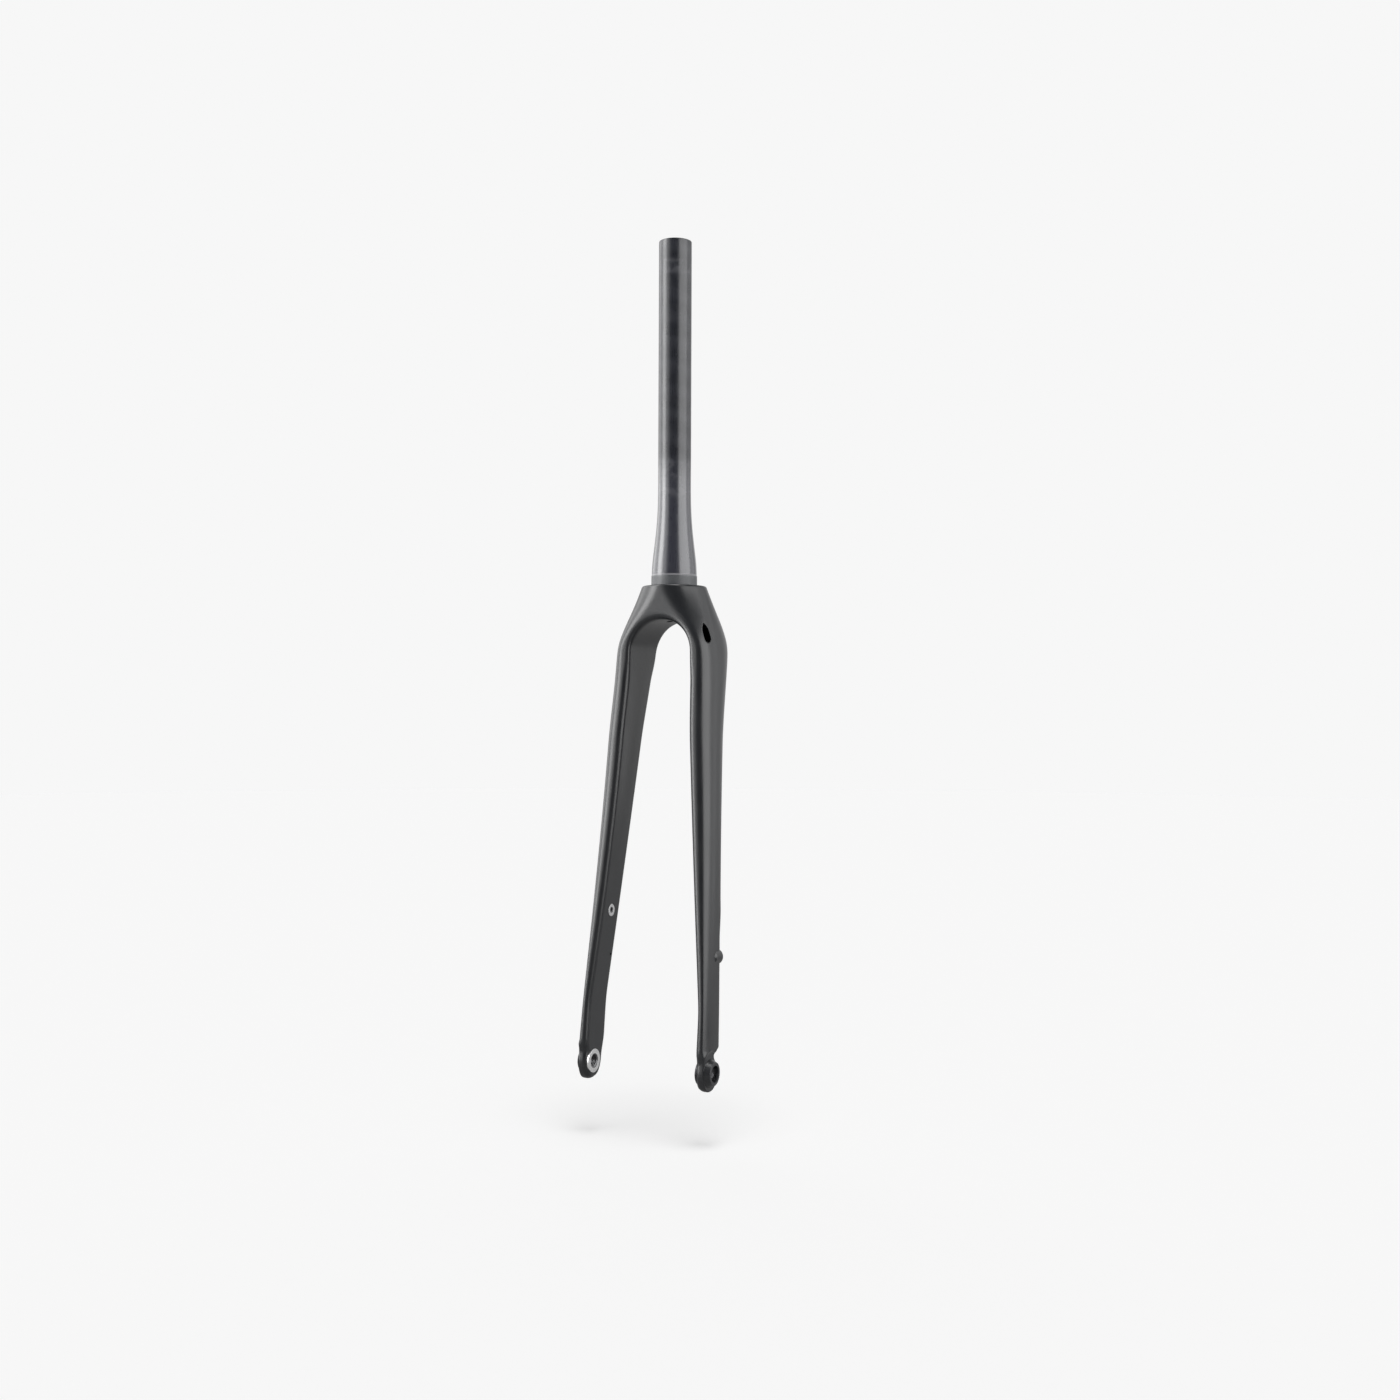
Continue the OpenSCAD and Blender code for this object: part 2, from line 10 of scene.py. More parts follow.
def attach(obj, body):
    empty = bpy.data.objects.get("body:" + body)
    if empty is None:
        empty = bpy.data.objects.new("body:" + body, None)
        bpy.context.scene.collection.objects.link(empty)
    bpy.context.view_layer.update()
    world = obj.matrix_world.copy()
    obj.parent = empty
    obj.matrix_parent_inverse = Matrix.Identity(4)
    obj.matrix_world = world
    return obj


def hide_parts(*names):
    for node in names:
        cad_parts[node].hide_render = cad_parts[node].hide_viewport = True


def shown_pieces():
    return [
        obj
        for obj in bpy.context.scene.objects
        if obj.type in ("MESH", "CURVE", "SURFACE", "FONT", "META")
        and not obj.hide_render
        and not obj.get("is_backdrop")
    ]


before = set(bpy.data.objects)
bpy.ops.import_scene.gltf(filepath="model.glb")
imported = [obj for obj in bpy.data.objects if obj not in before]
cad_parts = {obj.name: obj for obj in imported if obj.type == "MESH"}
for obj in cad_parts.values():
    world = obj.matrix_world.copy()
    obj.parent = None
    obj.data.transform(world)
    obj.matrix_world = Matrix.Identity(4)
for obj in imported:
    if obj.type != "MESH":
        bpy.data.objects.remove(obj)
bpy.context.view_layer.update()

scene = bpy.context.scene

# Crown and legs
# One moulded carbon shell: a round crown under the headset that splits into two hollow blades,
# painted satin black over fine filler. It is lofted from level sections of superellipses, and
# holes, recesses and bosses are cut and added as they are on the moulding.
#
# Sizes are in millimetres, the same as in the part's source, and h is a depth below the ledge.
MM = 0.001

# Round ledge under the steerer, shoulders, and the elliptical wheel arch with its rims.
LEDGE_R, LEDGE_EDGE = 28.2, 1.5
SHOULDER_W, SHOULDER_H, SHOULDER_SOFT, CROWN_DEPTH = 92.6, 47.4, 6.8, 55.2
ARCH_W, ARCH_TOP, ARCH_BASE, RIM_R, RIM_TOP = 56.8, 30.0, 58.0, 6.0, 11.5
ARCH_RISE = ARCH_BASE - ARCH_TOP

# The legs: their line, spread and depth down to the tips, and the powers of their curves.
AXLE_DROP, RAKE, TIP_H, TIP_W, TIP_DEPTH, TIP_EDGE, LEG_WALL = 406.7, 49.0, 355.0, 122.6, 33.6, 5.0, 3.0
LINE_LEAD, LINE_SOFT, SPREAD_POWER, DEPTH_POWER = 7.5, 135.0, 1.4, 2.7
FRONT_POWER, LEG_POWER, TIP_POWER, BACK_POWER = 1.9, 2.42, 4.5, 5.0

# Leg ends: thicknesses from the hub face outward, the dish, the eye about the axle and its boss.
HUB_X, PROUD, END_T, THREAD_T, PLATE_T = 50.0, 0.8, 14.0, 11.2, 9.2
SCOOP_R, SCOOP_EDGE, END_BACK = 20.0, 5.0, 2.8
EYE_R, EYE_LOW, EYE_EDGE, BOSS_R, BOSS_FOOT_R = 13.8, 15.6, 4.0, 9.5, 12.3
FACE_X = HUB_X + PROUD
END_START, END_FULL = AXLE_DROP - EYE_R * 1.5, AXLE_DROP - EYE_R * 0.75

# Pockets for what is bonded in, the brake mount's pads, flat and notch, and the openings.
SEAT_R, SEAT_FOOT, SEAT_GROOVE, ROOT_R, ROOT_LEN, UNDER_D = 19.9, 0.5, 0.6, 18.5, 21.0, 13.0
FLANGE_R, FLANGE_T, INSERT_R, HEAD_RECESS = 10.0, 1.6, 8.0, 2.5
MOUNT_PITCH, MOUNT_H, MOUNT_X, MOUNT_LOW_F, MOUNT_UP_F = 70.0, 22.6, 53.0, 32.0, 24.1
MOUNT_R, MOUNT_INSERT_R, MOUNT_INSERT_LEN, MOUNT_PROUD, MOUNT_TAIL = 6.6, 4.5, 12.0, 1.2, 6.0
NOTCH_AT, NOTCH_F, NOTCH_RISE, NOTCH_FALL = AXLE_DROP - 13.7, 41.0, 6.0, 9.5
NOTCH_IN = NOTCH_F - RAKE + END_BACK + EYE_R
FLAT_FULL, FLAT_BLEND = AXLE_DROP - MOUNT_H - MOUNT_PITCH - 15.0, 35.0
EYELET_H, EYELET_FLANGE_R, EYELET_SPOT, EYELET_R, EYELET_LEN = 127.0, 5.3, 0.6, 3.5, 7.0
PORT_H, PORT_TURN, PORT_SIDE, PORT_LEAN = 41.7, 40.0, 18.5, 12.0
PORT_LEN, PORT_R, PORT_FLAT, PORT_START, PORT_DEPTH = 17.0, 3.1, 4.5, 60.0, 35.0
EXIT_H, EXIT_D, EXIT_LEN, DRAIN_D, DRAIN_H = 142.0, 6.0, 6.0, 2.4, 88.0

# How softly the leg's inner face, its half depth, the eye's nose and the dish's edge turn.
TIP_EASE, TIP_EASE_FROM, DEPTH_EASE, DEPTH_EASE_FROM = 12.0, TIP_H - 25.0, 9.0, 20.0
NOSE_SOFT, NOSE_FADE, SCOOP_SOFT, SCOOP_WALL = 2.0, 4.0, 0.9, 40.0

# Points along half a section's outer curve, its rim and the inner face, and how these are rounded.
OUTER_N, RIM_N, INNER_N, RIM_CROWD = 44, 18, 9, 2.4
RIM_POWER, REAR_RIM, RIM_BLEND, INNER_CROWN = 3.2, 9.0, 25.0, 0.7


def mix(a, b, t):
    """Value between a and b: a + (b - a) t."""
    return a + (b - a) * t


def smooth(t):
    """Smooth step: u^2 (3 - 2u), with u = t kept within 0 and 1."""
    u = np.clip(t, 0, 1)
    return u * u * (3 - 2 * u)


def root(t):
    """Square root, with negative values taken as 0."""
    return np.sqrt(np.maximum(0, t))


def quarter(r, d):
    """Shortfall of a quarter round: r (1 - sqrt(1 - (d/r)^2)), at distance d past its start."""
    u = np.clip(d / r, 0, 1)
    return r * (1 - root(1 - u * u))


def eased(f, h, reach):
    """Mean of f over h - reach to h + reach with triangular weights, which rounds its corners."""
    steps = np.linspace(-1, 1, 9)
    weights = 1 - np.abs(steps) * 0.8
    return sum(w * f(h + s * reach) for s, w in zip(steps, weights)) / weights.sum()


def leg_share(h):
    """0 at the shoulders, 1 where the inner face becomes upright."""
    return np.clip((h - SHOULDER_H) / (TIP_H - SHOULDER_H), 0, 1)


def arch_share(h):
    """0 where the arch begins, 1 where the inner face becomes upright."""
    return np.clip((h - ARCH_BASE) / (TIP_H - ARCH_BASE), 0, 1)


def edge_loss(h):
    """Quarter round of the ledge's edge: r (1 - sqrt(1 - ((r - h)/r)^2)) for h under r."""
    return np.where(h < LEDGE_EDGE, quarter(LEDGE_EDGE, LEDGE_EDGE - h), 0)


def forward(h):
    """Forward place of the leg's middle: a line through a point above the ledge, left softly."""
    return (RAKE - END_BACK) * (h + LINE_LEAD) / (AXLE_DROP + LINE_LEAD) * smooth(h / LINE_SOFT)


def inner_line(h):
    """Inner face below the arch: w/2 + (face - w/2) share^p."""
    return mix(ARCH_W / 2, FACE_X, arch_share(h) ** SPREAD_POWER)


def x_in(h):
    """Inner face: ellipse w/2 sqrt(1 - ((base - h)/rise)^2) in the arch, then the spreading leg.

    It ends in a quarter round at the foot of the eye.
    """
    arch = ARCH_W / 2 * root(1 - ((ARCH_BASE - h) / ARCH_RISE) ** 2)
    leg = np.where(h > TIP_EASE_FROM, eased(inner_line, h, TIP_EASE), inner_line(h))
    leg = leg + quarter(TIP_EDGE, h - AXLE_DROP - EYE_LOW + TIP_EDGE)
    return np.where(h <= ARCH_TOP, 0, np.where(h < ARCH_BASE, arch, leg))


def x_rim(h):
    """Start of the rim's round: the same ellipse, one rim wider and one rim higher."""
    arch = (ARCH_W / 2 + RIM_R) * root(1 - ((ARCH_BASE - h) / (ARCH_RISE + RIM_TOP)) ** 2)
    leg = x_in(h) + np.minimum(mix(RIM_R, TIP_EDGE, arch_share(h)), 0.45 * (x_out(h) - x_in(h)))
    return np.where(h <= ARCH_TOP - RIM_TOP, 0, np.where(h < ARCH_BASE, arch, leg))


def x_mid(h):
    """Centre of the outer curve, which leaves the steerer axis softly."""
    return np.where(h < ARCH_BASE, (ARCH_W / 2 + RIM_R) * smooth(h / ARCH_BASE), x_rim(h))


def x_out(h):
    """Outer face: soft minimum of the crown's flare and the leg's line, then the leg end."""
    flare = mix(LEDGE_R, SHOULDER_W / 2, h / SHOULDER_H) - edge_loss(h)
    leg = mix(SHOULDER_W / 2, TIP_W / 2, (h - SHOULDER_H) / (END_START - SHOULDER_H))
    u = np.maximum(0, SHOULDER_SOFT - np.abs(flare - leg)) / SHOULDER_SOFT
    end = TIP_W / 2 - quarter(EYE_EDGE, h - AXLE_DROP - EYE_LOW + EYE_EDGE)
    return np.where(h < END_START, np.minimum(flare, leg) - u * u * SHOULDER_SOFT / 4, end)


def plain_half(h):
    """Half depth of crown and leg: linear to the shoulders, then a power of the leg's share."""
    crown = mix(LEDGE_R, CROWN_DEPTH / 2, h / SHOULDER_H)
    leg = mix(TIP_DEPTH / 2, CROWN_DEPTH / 2, (1 - leg_share(h)) ** DEPTH_POWER)
    return np.where(h < SHOULDER_H, crown, leg)


def half_leg(h):
    """Half depth with the ledge's rounded edge and a softened shoulder."""
    plain, start = plain_half(h), DEPTH_EASE_FROM
    soft = mix(plain, eased(plain_half, h, DEPTH_EASE), smooth((h - start) / (start / 2)))
    return np.where(h < start, plain, soft) - edge_loss(h)


def half_front(h):
    """Half depth in front: leg, neck of the leg end, then the round eye about the axle."""
    neck = mix(TIP_DEPTH / 2, EYE_R, smooth((h - END_START) / (AXLE_DROP - END_START)))
    eye = EYE_R * root(1 - ((h - AXLE_DROP) / EYE_LOW) ** 2)
    return np.where(h < END_START, half_leg(h), np.where(h < AXLE_DROP, neck, eye))


def half_nose(h):
    """Half depth in front with the eye's bulge about the axle: soft maximum with an ellipse."""
    f = half_front(h)
    bulge = RAKE - forward(h) + BOSS_FOOT_R * root(1 - ((h - AXLE_DROP) / EYE_LOW) ** 2)
    bulge = np.where(np.abs(h - AXLE_DROP) < EYE_LOW, bulge, 0)
    u = np.maximum(0, NOSE_SOFT - np.abs(f - bulge)) / NOSE_SOFT
    near = smooth((h - AXLE_DROP + EYE_LOW) / NOSE_FADE) * smooth((AXLE_DROP + EYE_LOW - h) / NOSE_FADE)
    return mix(f, np.maximum(f, bulge) + (u * u - 1) * NOSE_SOFT / 4, near)


def scoop_depth(r):
    """Height of the dish over the hub face: flat, then up by e - sqrt(e^2 - (r - (R - e))^2)."""
    t = np.clip(r - (SCOOP_R - SCOOP_EDGE), 0, SCOOP_EDGE)
    wall = SCOOP_WALL * np.maximum(0, r - SCOOP_R)
    return PLATE_T + SCOOP_EDGE - root(SCOOP_EDGE ** 2 - t * t) + wall


def flat_share(h):
    """0 on the plain leg, 1 where the back is flattened for the brake mount."""
    return np.where(h < NOTCH_AT, smooth((h - FLAT_FULL + FLAT_BLEND) / FLAT_BLEND), 0)


def mount_plane(h):
    """Forward place of the plane through both mount faces."""
    return mix(MOUNT_LOW_F, MOUNT_UP_F, (AXLE_DROP - MOUNT_H - h) / MOUNT_PITCH)


def half_rear(h, brake):
    """Half depth behind: as in front, or flattened and cut by the bowed notch on the brake side."""
    f = half_front(h)
    if not brake:
        return f
    d = h - NOTCH_AT
    side = np.where(d < 0, NOTCH_RISE, NOTCH_FALL)
    flat = forward(h) - mount_plane(h) - MOUNT_PROUD
    notch = forward(h) - NOTCH_F + NOTCH_IN * d * d / (side * side)
    return np.minimum(mix(f, np.minimum(f, flat), flat_share(h)), notch)


def power_at(h):
    """Power of the outer curve: round crown, fuller leg, nearly square leg end."""
    crown = mix(FRONT_POWER, LEG_POWER, h / SHOULDER_H)
    leg = mix(LEG_POWER, TIP_POWER, smooth((h - END_START) / (END_FULL - END_START)))
    return np.where(h < SHOULDER_H, crown, leg)


def section_depths():
    """Depths of all sections: closer together where the form turns quickly."""
    edge = LEDGE_EDGE * (1 - np.cos(np.radians(np.linspace(0, 90, 6))))
    crown = np.linspace(LEDGE_EDGE, ARCH_TOP - RIM_TOP, 12)[1:]
    turn = math.acos(ARCH_RISE / (ARCH_RISE + RIM_TOP))
    rim = ARCH_BASE - (ARCH_RISE + RIM_TOP) * np.cos(np.linspace(0, turn, 22))[1:]
    rim = np.sort(np.concatenate([rim, ARCH_TOP - np.array([0.75, 0.52, 0.33, 0.18, 0.07])]))
    arch = ARCH_BASE - ARCH_RISE * np.cos(np.radians(np.linspace(0, 90, 32)))[1:]
    leg = np.linspace(ARCH_BASE, END_START - 2, 112)[1:]
    neck = np.linspace(END_START - 2, AXLE_DROP, 32)[1:]
    eye = AXLE_DROP + EYE_LOW * np.sin(np.radians(np.linspace(0, 88.5, 32)))[1:]
    return np.concatenate([edge, crown, rim, arch, leg, neck, eye])


def outer_curve(h, half, p):
    """Outer curve of every section with its points an equal length apart, outermost point first.

    It is y = half (1 - u^p)^(1/p) with u = (x - mid)/(out - mid), first laid out by y up to the
    corner u = v = 0.5^(1/p), and from there by x.
    """
    rim, out, mid = x_rim(h), x_out(h), x_mid(h)
    s = np.linspace(0, 1, 120)[None, :]
    corner = 0.5 ** (1 / p)
    y_low = half * corner * s
    x_low = mid + (out - mid) * np.maximum(0, 1 - (corner * s) ** p) ** (1 / p)
    x_high = mix(mid + (out - mid) * corner, rim, s[:, 1:])
    u = np.clip((x_high - mid) / (out - mid), 0, 1)
    y_high = half * np.maximum(0, 1 - u ** p) ** (1 / p)
    x, y = np.concatenate([x_low, x_high], 1), np.concatenate([y_low, y_high], 1)
    gone = np.concatenate([np.zeros((len(h), 1)), np.cumsum(np.hypot(np.diff(x), np.diff(y)), 1)], 1)
    goal = np.linspace(0, 1, OUTER_N + 1)
    rows = [(np.interp(goal * g[-1], g, a), np.interp(goal * g[-1], g, b)) for g, a, b in zip(gone, x, y)]
    return np.array([r[0] for r in rows]), np.array([r[1] for r in rows])


def half_profile(h, half, p, rim_r):
    """Points of half a section from its outermost point to the inner face, for every depth.

    The outer curve is followed by the rim's round, r (1 - (1 - share^q)^(1/q)). Its share in the
    arch lies between two ellipses: (1 - g)/(g_in - g).
    """
    h, half, p = h[:, None], half[:, None], p[:, None]
    x_outer, y_outer = outer_curve(h, half, p)
    below = smooth((h - ARCH_BASE) / RIM_BLEND)
    q = mix(RIM_POWER, 2, below)
    t = 1 - (1 - np.arange(1, RIM_N + 1) / RIM_N)[None, :] ** RIM_CROWD
    rim, inner, out, mid = x_rim(h), x_in(h), x_out(h), x_mid(h)
    x = rim - (rim - inner) * t
    up = ARCH_BASE - h
    g = np.hypot(x / (ARCH_W / 2 + RIM_R), up / (ARCH_RISE + RIM_TOP))
    g_in = np.hypot(x / (ARCH_W / 2), up / ARCH_RISE)
    share = np.where(h >= ARCH_BASE, t, np.clip((1 - g) / np.maximum(1e-6, g_in - g), 0, 1))
    edge = mix(mix(RIM_R, rim_r, below), TIP_EDGE, arch_share(h))
    edge = np.where(h < ARCH_BASE, mix(RIM_R, RIM_TOP, up / (ARCH_RISE + RIM_TOP)), edge)
    round_y = np.minimum(edge, 0.8 * half)
    u = np.clip((x - mid) / (out - mid), 0, 1)
    y = half * np.maximum(0, 1 - u ** p) ** (1 / p)
    y = y - round_y * (1 - np.maximum(0, 1 - share ** q) ** (1 / q))
    x, y = np.concatenate([x_outer, x], 1), np.concatenate([y_outer, y], 1)
    return np.where(x < 1e-4, 0, x), y


def half_shell(side):
    """Ring points of one half: front profile, the slightly crowned inner face, rear profile back.

    The leg end's outer face is then dished about the axle, by a soft minimum with the dish.
    """
    h = section_depths()
    brake = side > 0
    fx, fy = half_profile(h, half_nose(h), power_at(h), RIM_R)
    back_power = mix(power_at(h), BACK_POWER, flat_share(h)) if brake else power_at(h)
    rx, ry = half_profile(h, half_rear(h, brake), back_power, REAR_RIM)
    f = forward(h)[:, None]
    across = (np.arange(1, INNER_N + 1) / (INNER_N + 1))[None, :]
    # The crowning comes in over the arch's foot and is gone above the eyelet.
    crowned = smooth((h - ARCH_BASE + 12) / 30) * smooth((AXLE_DROP - EYELET_H - 25 - h) / 60)
    inner_x = x_in(h)[:, None] - INNER_CROWN * crowned[:, None] * 4 * across * (1 - across)
    inner_y = mix(-(f + fy[:, -1:]), -(f - ry[:, -1:]), across)
    x = np.concatenate([fx, inner_x, rx[:, :0:-1]], 1)
    y = np.concatenate([-(f + fy), inner_y, -(f - ry[:, :0:-1])], 1)
    z = np.repeat(-h[:, None], x.shape[1], 1)
    dish = HUB_X + scoop_depth(np.hypot(y + RAKE, z + AXLE_DROP))
    u = np.maximum(0, 1 - np.abs(x - dish) / SCOOP_SOFT)
    x = np.where(x > HUB_X + PLATE_T / 2, np.minimum(x, dish) - u * u * SCOOP_SOFT / 4, x)
    return np.stack([side * x, y, z], -1)


def grid_faces(rows, cols, wrap_rows=False):
    """Quads of a grid of points whose rows are closed rings, as four indices each."""
    r = np.arange(rows if wrap_rows else rows - 1)[:, None]
    c = np.arange(cols)[None, :]
    r1, c1 = (r + 1) % rows, (c + 1) % cols
    return np.stack([r * cols + c, r * cols + c1, r1 * cols + c1, r1 * cols + c], -1).reshape(-1, 4)


def make_object(name, points, faces, matrix=None):
    """Object from points in millimetres: doubles merged, normals outward, linked to the scene."""
    mesh = bpy.data.meshes.new(name)
    mesh.from_pydata((np.asarray(points, float).reshape(-1, 3) * MM).tolist(), [], faces)
    bm = bmesh.new()
    bm.from_mesh(mesh)
    bmesh.ops.remove_doubles(bm, verts=bm.verts, dist=2e-7)
    bmesh.ops.dissolve_degenerate(bm, edges=bm.edges, dist=1e-7)
    bmesh.ops.recalc_face_normals(bm, faces=bm.faces)
    bm.to_mesh(mesh)
    bm.free()
    if matrix is not None:
        mesh.transform(matrix)
    if sum_volume(mesh) < 0:
        mesh.flip_normals()
    obj = bpy.data.objects.new(name, mesh)
    scene.collection.objects.link(obj)
    return obj


def sum_volume(mesh):
    """Signed volume of a closed mesh: the sum of its faces' pyramids to the origin."""
    mesh.calc_loop_triangles()
    tri = np.empty(len(mesh.loop_triangles) * 3, np.int32)
    mesh.loop_triangles.foreach_get("vertices", tri)
    co = np.empty(len(mesh.vertices) * 3)
    mesh.vertices.foreach_get("co", co)
    a, b, c = co.reshape(-1, 3)[tri.reshape(-1, 3)].transpose(1, 0, 2)
    return float(np.einsum("ij,ij->", a, np.cross(b, c)) / 6)


def revolve(name, profile, steps, matrix=None, closed=False):
    """Turns (radius, height) points about Z: x = r cos a, y = r sin a."""
    p = np.asarray(profile, float)
    a = np.linspace(0, 2 * np.pi, steps, endpoint=False)
    points = np.stack([p[:, :1] * np.cos(a), p[:, :1] * np.sin(a), np.repeat(p[:, 1:], steps, 1)], -1)
    return make_object(name, points, grid_faces(len(p), steps, closed).tolist(), matrix)


def arc(cx, cz, r, start, end, steps):
    """Points on a circle about (cx, cz) from one angle to another, in degrees."""
    a = np.radians(np.linspace(start, end, steps + 1))
    return np.stack([cx + r * np.cos(a), cz + r * np.sin(a)], -1).tolist()


def frame_at(place, z_axis, x_hint=(0, 0, 1)):
    """Matrix that puts a shape's Z on z_axis at a place given in millimetres."""
    z = Vector(z_axis).normalized()
    x = Vector(x_hint)
    x = (x - z * x.dot(z)).normalized()
    y = z.cross(x)
    m = Matrix((x, y, z)).transposed().to_4x4()
    m.translation = Vector(place) * MM
    return m


def combine(obj, tools):
    """Applies (operation, object) pairs to obj one after another and removes the tools."""
    for step, (operation, tool) in enumerate(tools):
        mod = obj.modifiers.new(f"step_{step}", "BOOLEAN")
        mod.operation, mod.object, mod.solver = operation, tool, "MANIFOLD"
    graph = bpy.context.evaluated_depsgraph_get()
    mesh = bpy.data.meshes.new_from_object(obj.evaluated_get(graph))
    obj.modifiers.clear()
    old, obj.data = obj.data, mesh
    bpy.data.meshes.remove(old)
    for _, tool in tools:
        bpy.data.objects.remove(tool)


def surface_of(obj):
    """Search tree of an object's mesh as it is now."""
    bm = bmesh.new()
    bm.from_mesh(obj.data)
    tree = BVHTree.FromBMesh(bm)
    bm.free()
    return tree


def well(name, tree, outline, matrix, lip, depth):
    """Cutter for a hole whose chamfered lip follows a curved surface.

    outline is a closed line in the cutter's XY plane, and the cutter runs along -Z to its depth.
    At each point of the line the surface is met at distance d. The cutter narrows from the line
    grown by 1.5 lip, at d - lip/2, through lip, at d, to the line itself, at d + lip.
    """
    p = np.asarray(outline, float)
    side = np.roll(p, -1, 0) - np.roll(p, 1, 0)
    out = np.stack([side[:, 1], -side[:, 0]], -1) / np.linalg.norm(side, axis=1)[:, None]
    if np.sum(p[:, 0] * np.roll(p[:, 1], -1) - p[:, 1] * np.roll(p[:, 0], -1)) < 0:
        out = -out
    way = (matrix.to_3x3() @ Vector((0, 0, -1))).normalized()
    met = []
    for q in p:
        hit = tree.ray_cast(matrix @ Vector((q[0] * MM, q[1] * MM, 0)), way)
        met.append(hit[3] / MM if hit[0] is not None else np.nan)
    met = np.array(met)
    met[np.isnan(met)] = np.nanmean(met)
    z = -met
    wide = p + out * lip * 1.5
    rings = [(wide, np.zeros(len(p))), (wide, z + lip * 0.5), (p + out * lip, z),
             (p + out * lip * 0.3, z - lip * 0.35), (p, z - lip), (p, np.full(len(p), -depth))]
    points = np.concatenate([np.column_stack([xy, zz]) for xy, zz in rings])
    faces = grid_faces(len(rings), len(p)).tolist()
    last = (len(rings) - 1) * len(p)
    faces += [list(range(len(p)))[::-1], list(range(last, last + len(p)))]
    return make_object(name, points, faces, matrix)


shells, shell_faces, offset = [], [], 0
for side in (1, -1):
    ring = half_shell(side)
    rows, cols = ring.shape[:2]
    quads = grid_faces(rows, cols)
    flat_x = np.abs(ring[..., 0].reshape(-1)) < 1e-9
    quads = quads[~flat_x[quads].all(1)]
    caps = np.array([np.arange(cols), np.arange(cols)[::-1] + (rows - 1) * cols])
    order = 1 if side > 0 else -1
    shell_faces += (quads[:, ::order] + offset).tolist() + (caps[:, ::order] + offset).tolist()
    shells.append(ring.reshape(-1, 3))
    offset += rows * cols
crown = make_object("crown_and_legs_carbon", np.concatenate(shells), shell_faces)


def on_axle(side):
    """Frame at the hub face of one leg end, with Z pointing outward along the axle."""
    return frame_at((side * HUB_X, -RAKE, -AXLE_DROP), (side, 0, 0))


MOUNT_TILT = math.atan((MOUNT_LOW_F - MOUNT_UP_F) / MOUNT_PITCH)


def on_mount(upper):
    """Frame at a brake mount's face, with Z pointing out of the mount."""
    f, h = (MOUNT_UP_F, AXLE_DROP - MOUNT_H - MOUNT_PITCH) if upper else (MOUNT_LOW_F, AXLE_DROP - MOUNT_H)
    return frame_at((MOUNT_X, -f, -h), (0, math.cos(MOUNT_TILT), -math.sin(MOUNT_TILT)))


def on_eyelet(side):
    """Frame at an eyelet's seat in the inner face of a leg, with Z pointing into the leg."""
    h = AXLE_DROP - EYELET_H
    x = float(inner_line(np.array(h))) + EYELET_SPOT
    return frame_at((side * x, -float(forward(np.array(h))), -h), (side, 0, 0))


def boss(side, top):
    """Cone round the axle, with a small round between its side and its face."""
    r = 0.8
    slope = math.degrees(math.atan2(top - PLATE_T, BOSS_FOOT_R - BOSS_R))
    nose = arc(BOSS_R - r * 0.5, top - r, r, 90 - slope * 0.8, 90, 5)
    foot = [[BOSS_FOOT_R - 1.2, PLATE_T - EYE_EDGE], [BOSS_FOOT_R - 1.2, PLATE_T - 0.5],
            [BOSS_FOOT_R - 0.4, PLATE_T - 0.1]]
    return revolve("boss", [[0, PLATE_T - EYE_EDGE]] + foot + nose + [[0, top]], 128, on_axle(side))


def mount_boss(upper):
    """Round pad for a brake insert: its face, a rounded edge, and a tail that runs into the leg."""
    r = 0.7
    nose = arc(MOUNT_R - r, -r, r, 0, 90, 5)
    tail = -MOUNT_INSERT_LEN - MOUNT_TAIL
    profile = [[0, tail], [MOUNT_R / 4, tail], [MOUNT_R, -MOUNT_INSERT_LEN]] + nose + [[0, 0]]
    return revolve("pad", profile, 96, on_mount(upper))


def bore(r, low, high, matrix, steps=96):
    """Plain round cutter between two heights of a frame."""
    return revolve("bore", [[0, low], [r, low], [r, high], [0, high]], steps, matrix)


def leg_hollow(side):
    """Cutter for the hollow of one leg: an ellipse drawn in by the wall, closed at both ends."""
    brake = side > 0
    top = ARCH_TOP + 6
    low = AXLE_DROP - MOUNT_H - MOUNT_PITCH - 2 * MOUNT_R if brake else TIP_H + 8
    h = np.concatenate([np.linspace(top, top + 16, 9), np.linspace(top + 16, low - 8, 36)[1:],
                        np.linspace(low - 8, low, 6)[1:]])
    s = np.interp(h, [top, top + 8, top + 16, low - 8, low], [0.45, 0.85, 1, 1, 0.45])[:, None]
    inner, outer = (x_in(h) + LEG_WALL)[:, None], (x_out(h) - LEG_WALL)[:, None]
    half = (np.minimum(half_leg(h), half_rear(h, brake)) - LEG_WALL)[:, None]
    a = np.linspace(0, 2 * np.pi, 40, endpoint=False)[None, :]
    x = (inner + outer) / 2 + s * (outer - inner) / 2 * np.cos(a)
    y = -(forward(h)[:, None] + s * half * np.sin(a))
    points = np.stack([side * x, y, np.repeat(-h[:, None], 40, 1)], -1)
    n = len(h)
    faces = grid_faces(n, 40).tolist() + [list(range(40)), list(range((n - 1) * 40, n * 40))[::-1]]
    return make_object("hollow", points, faces)


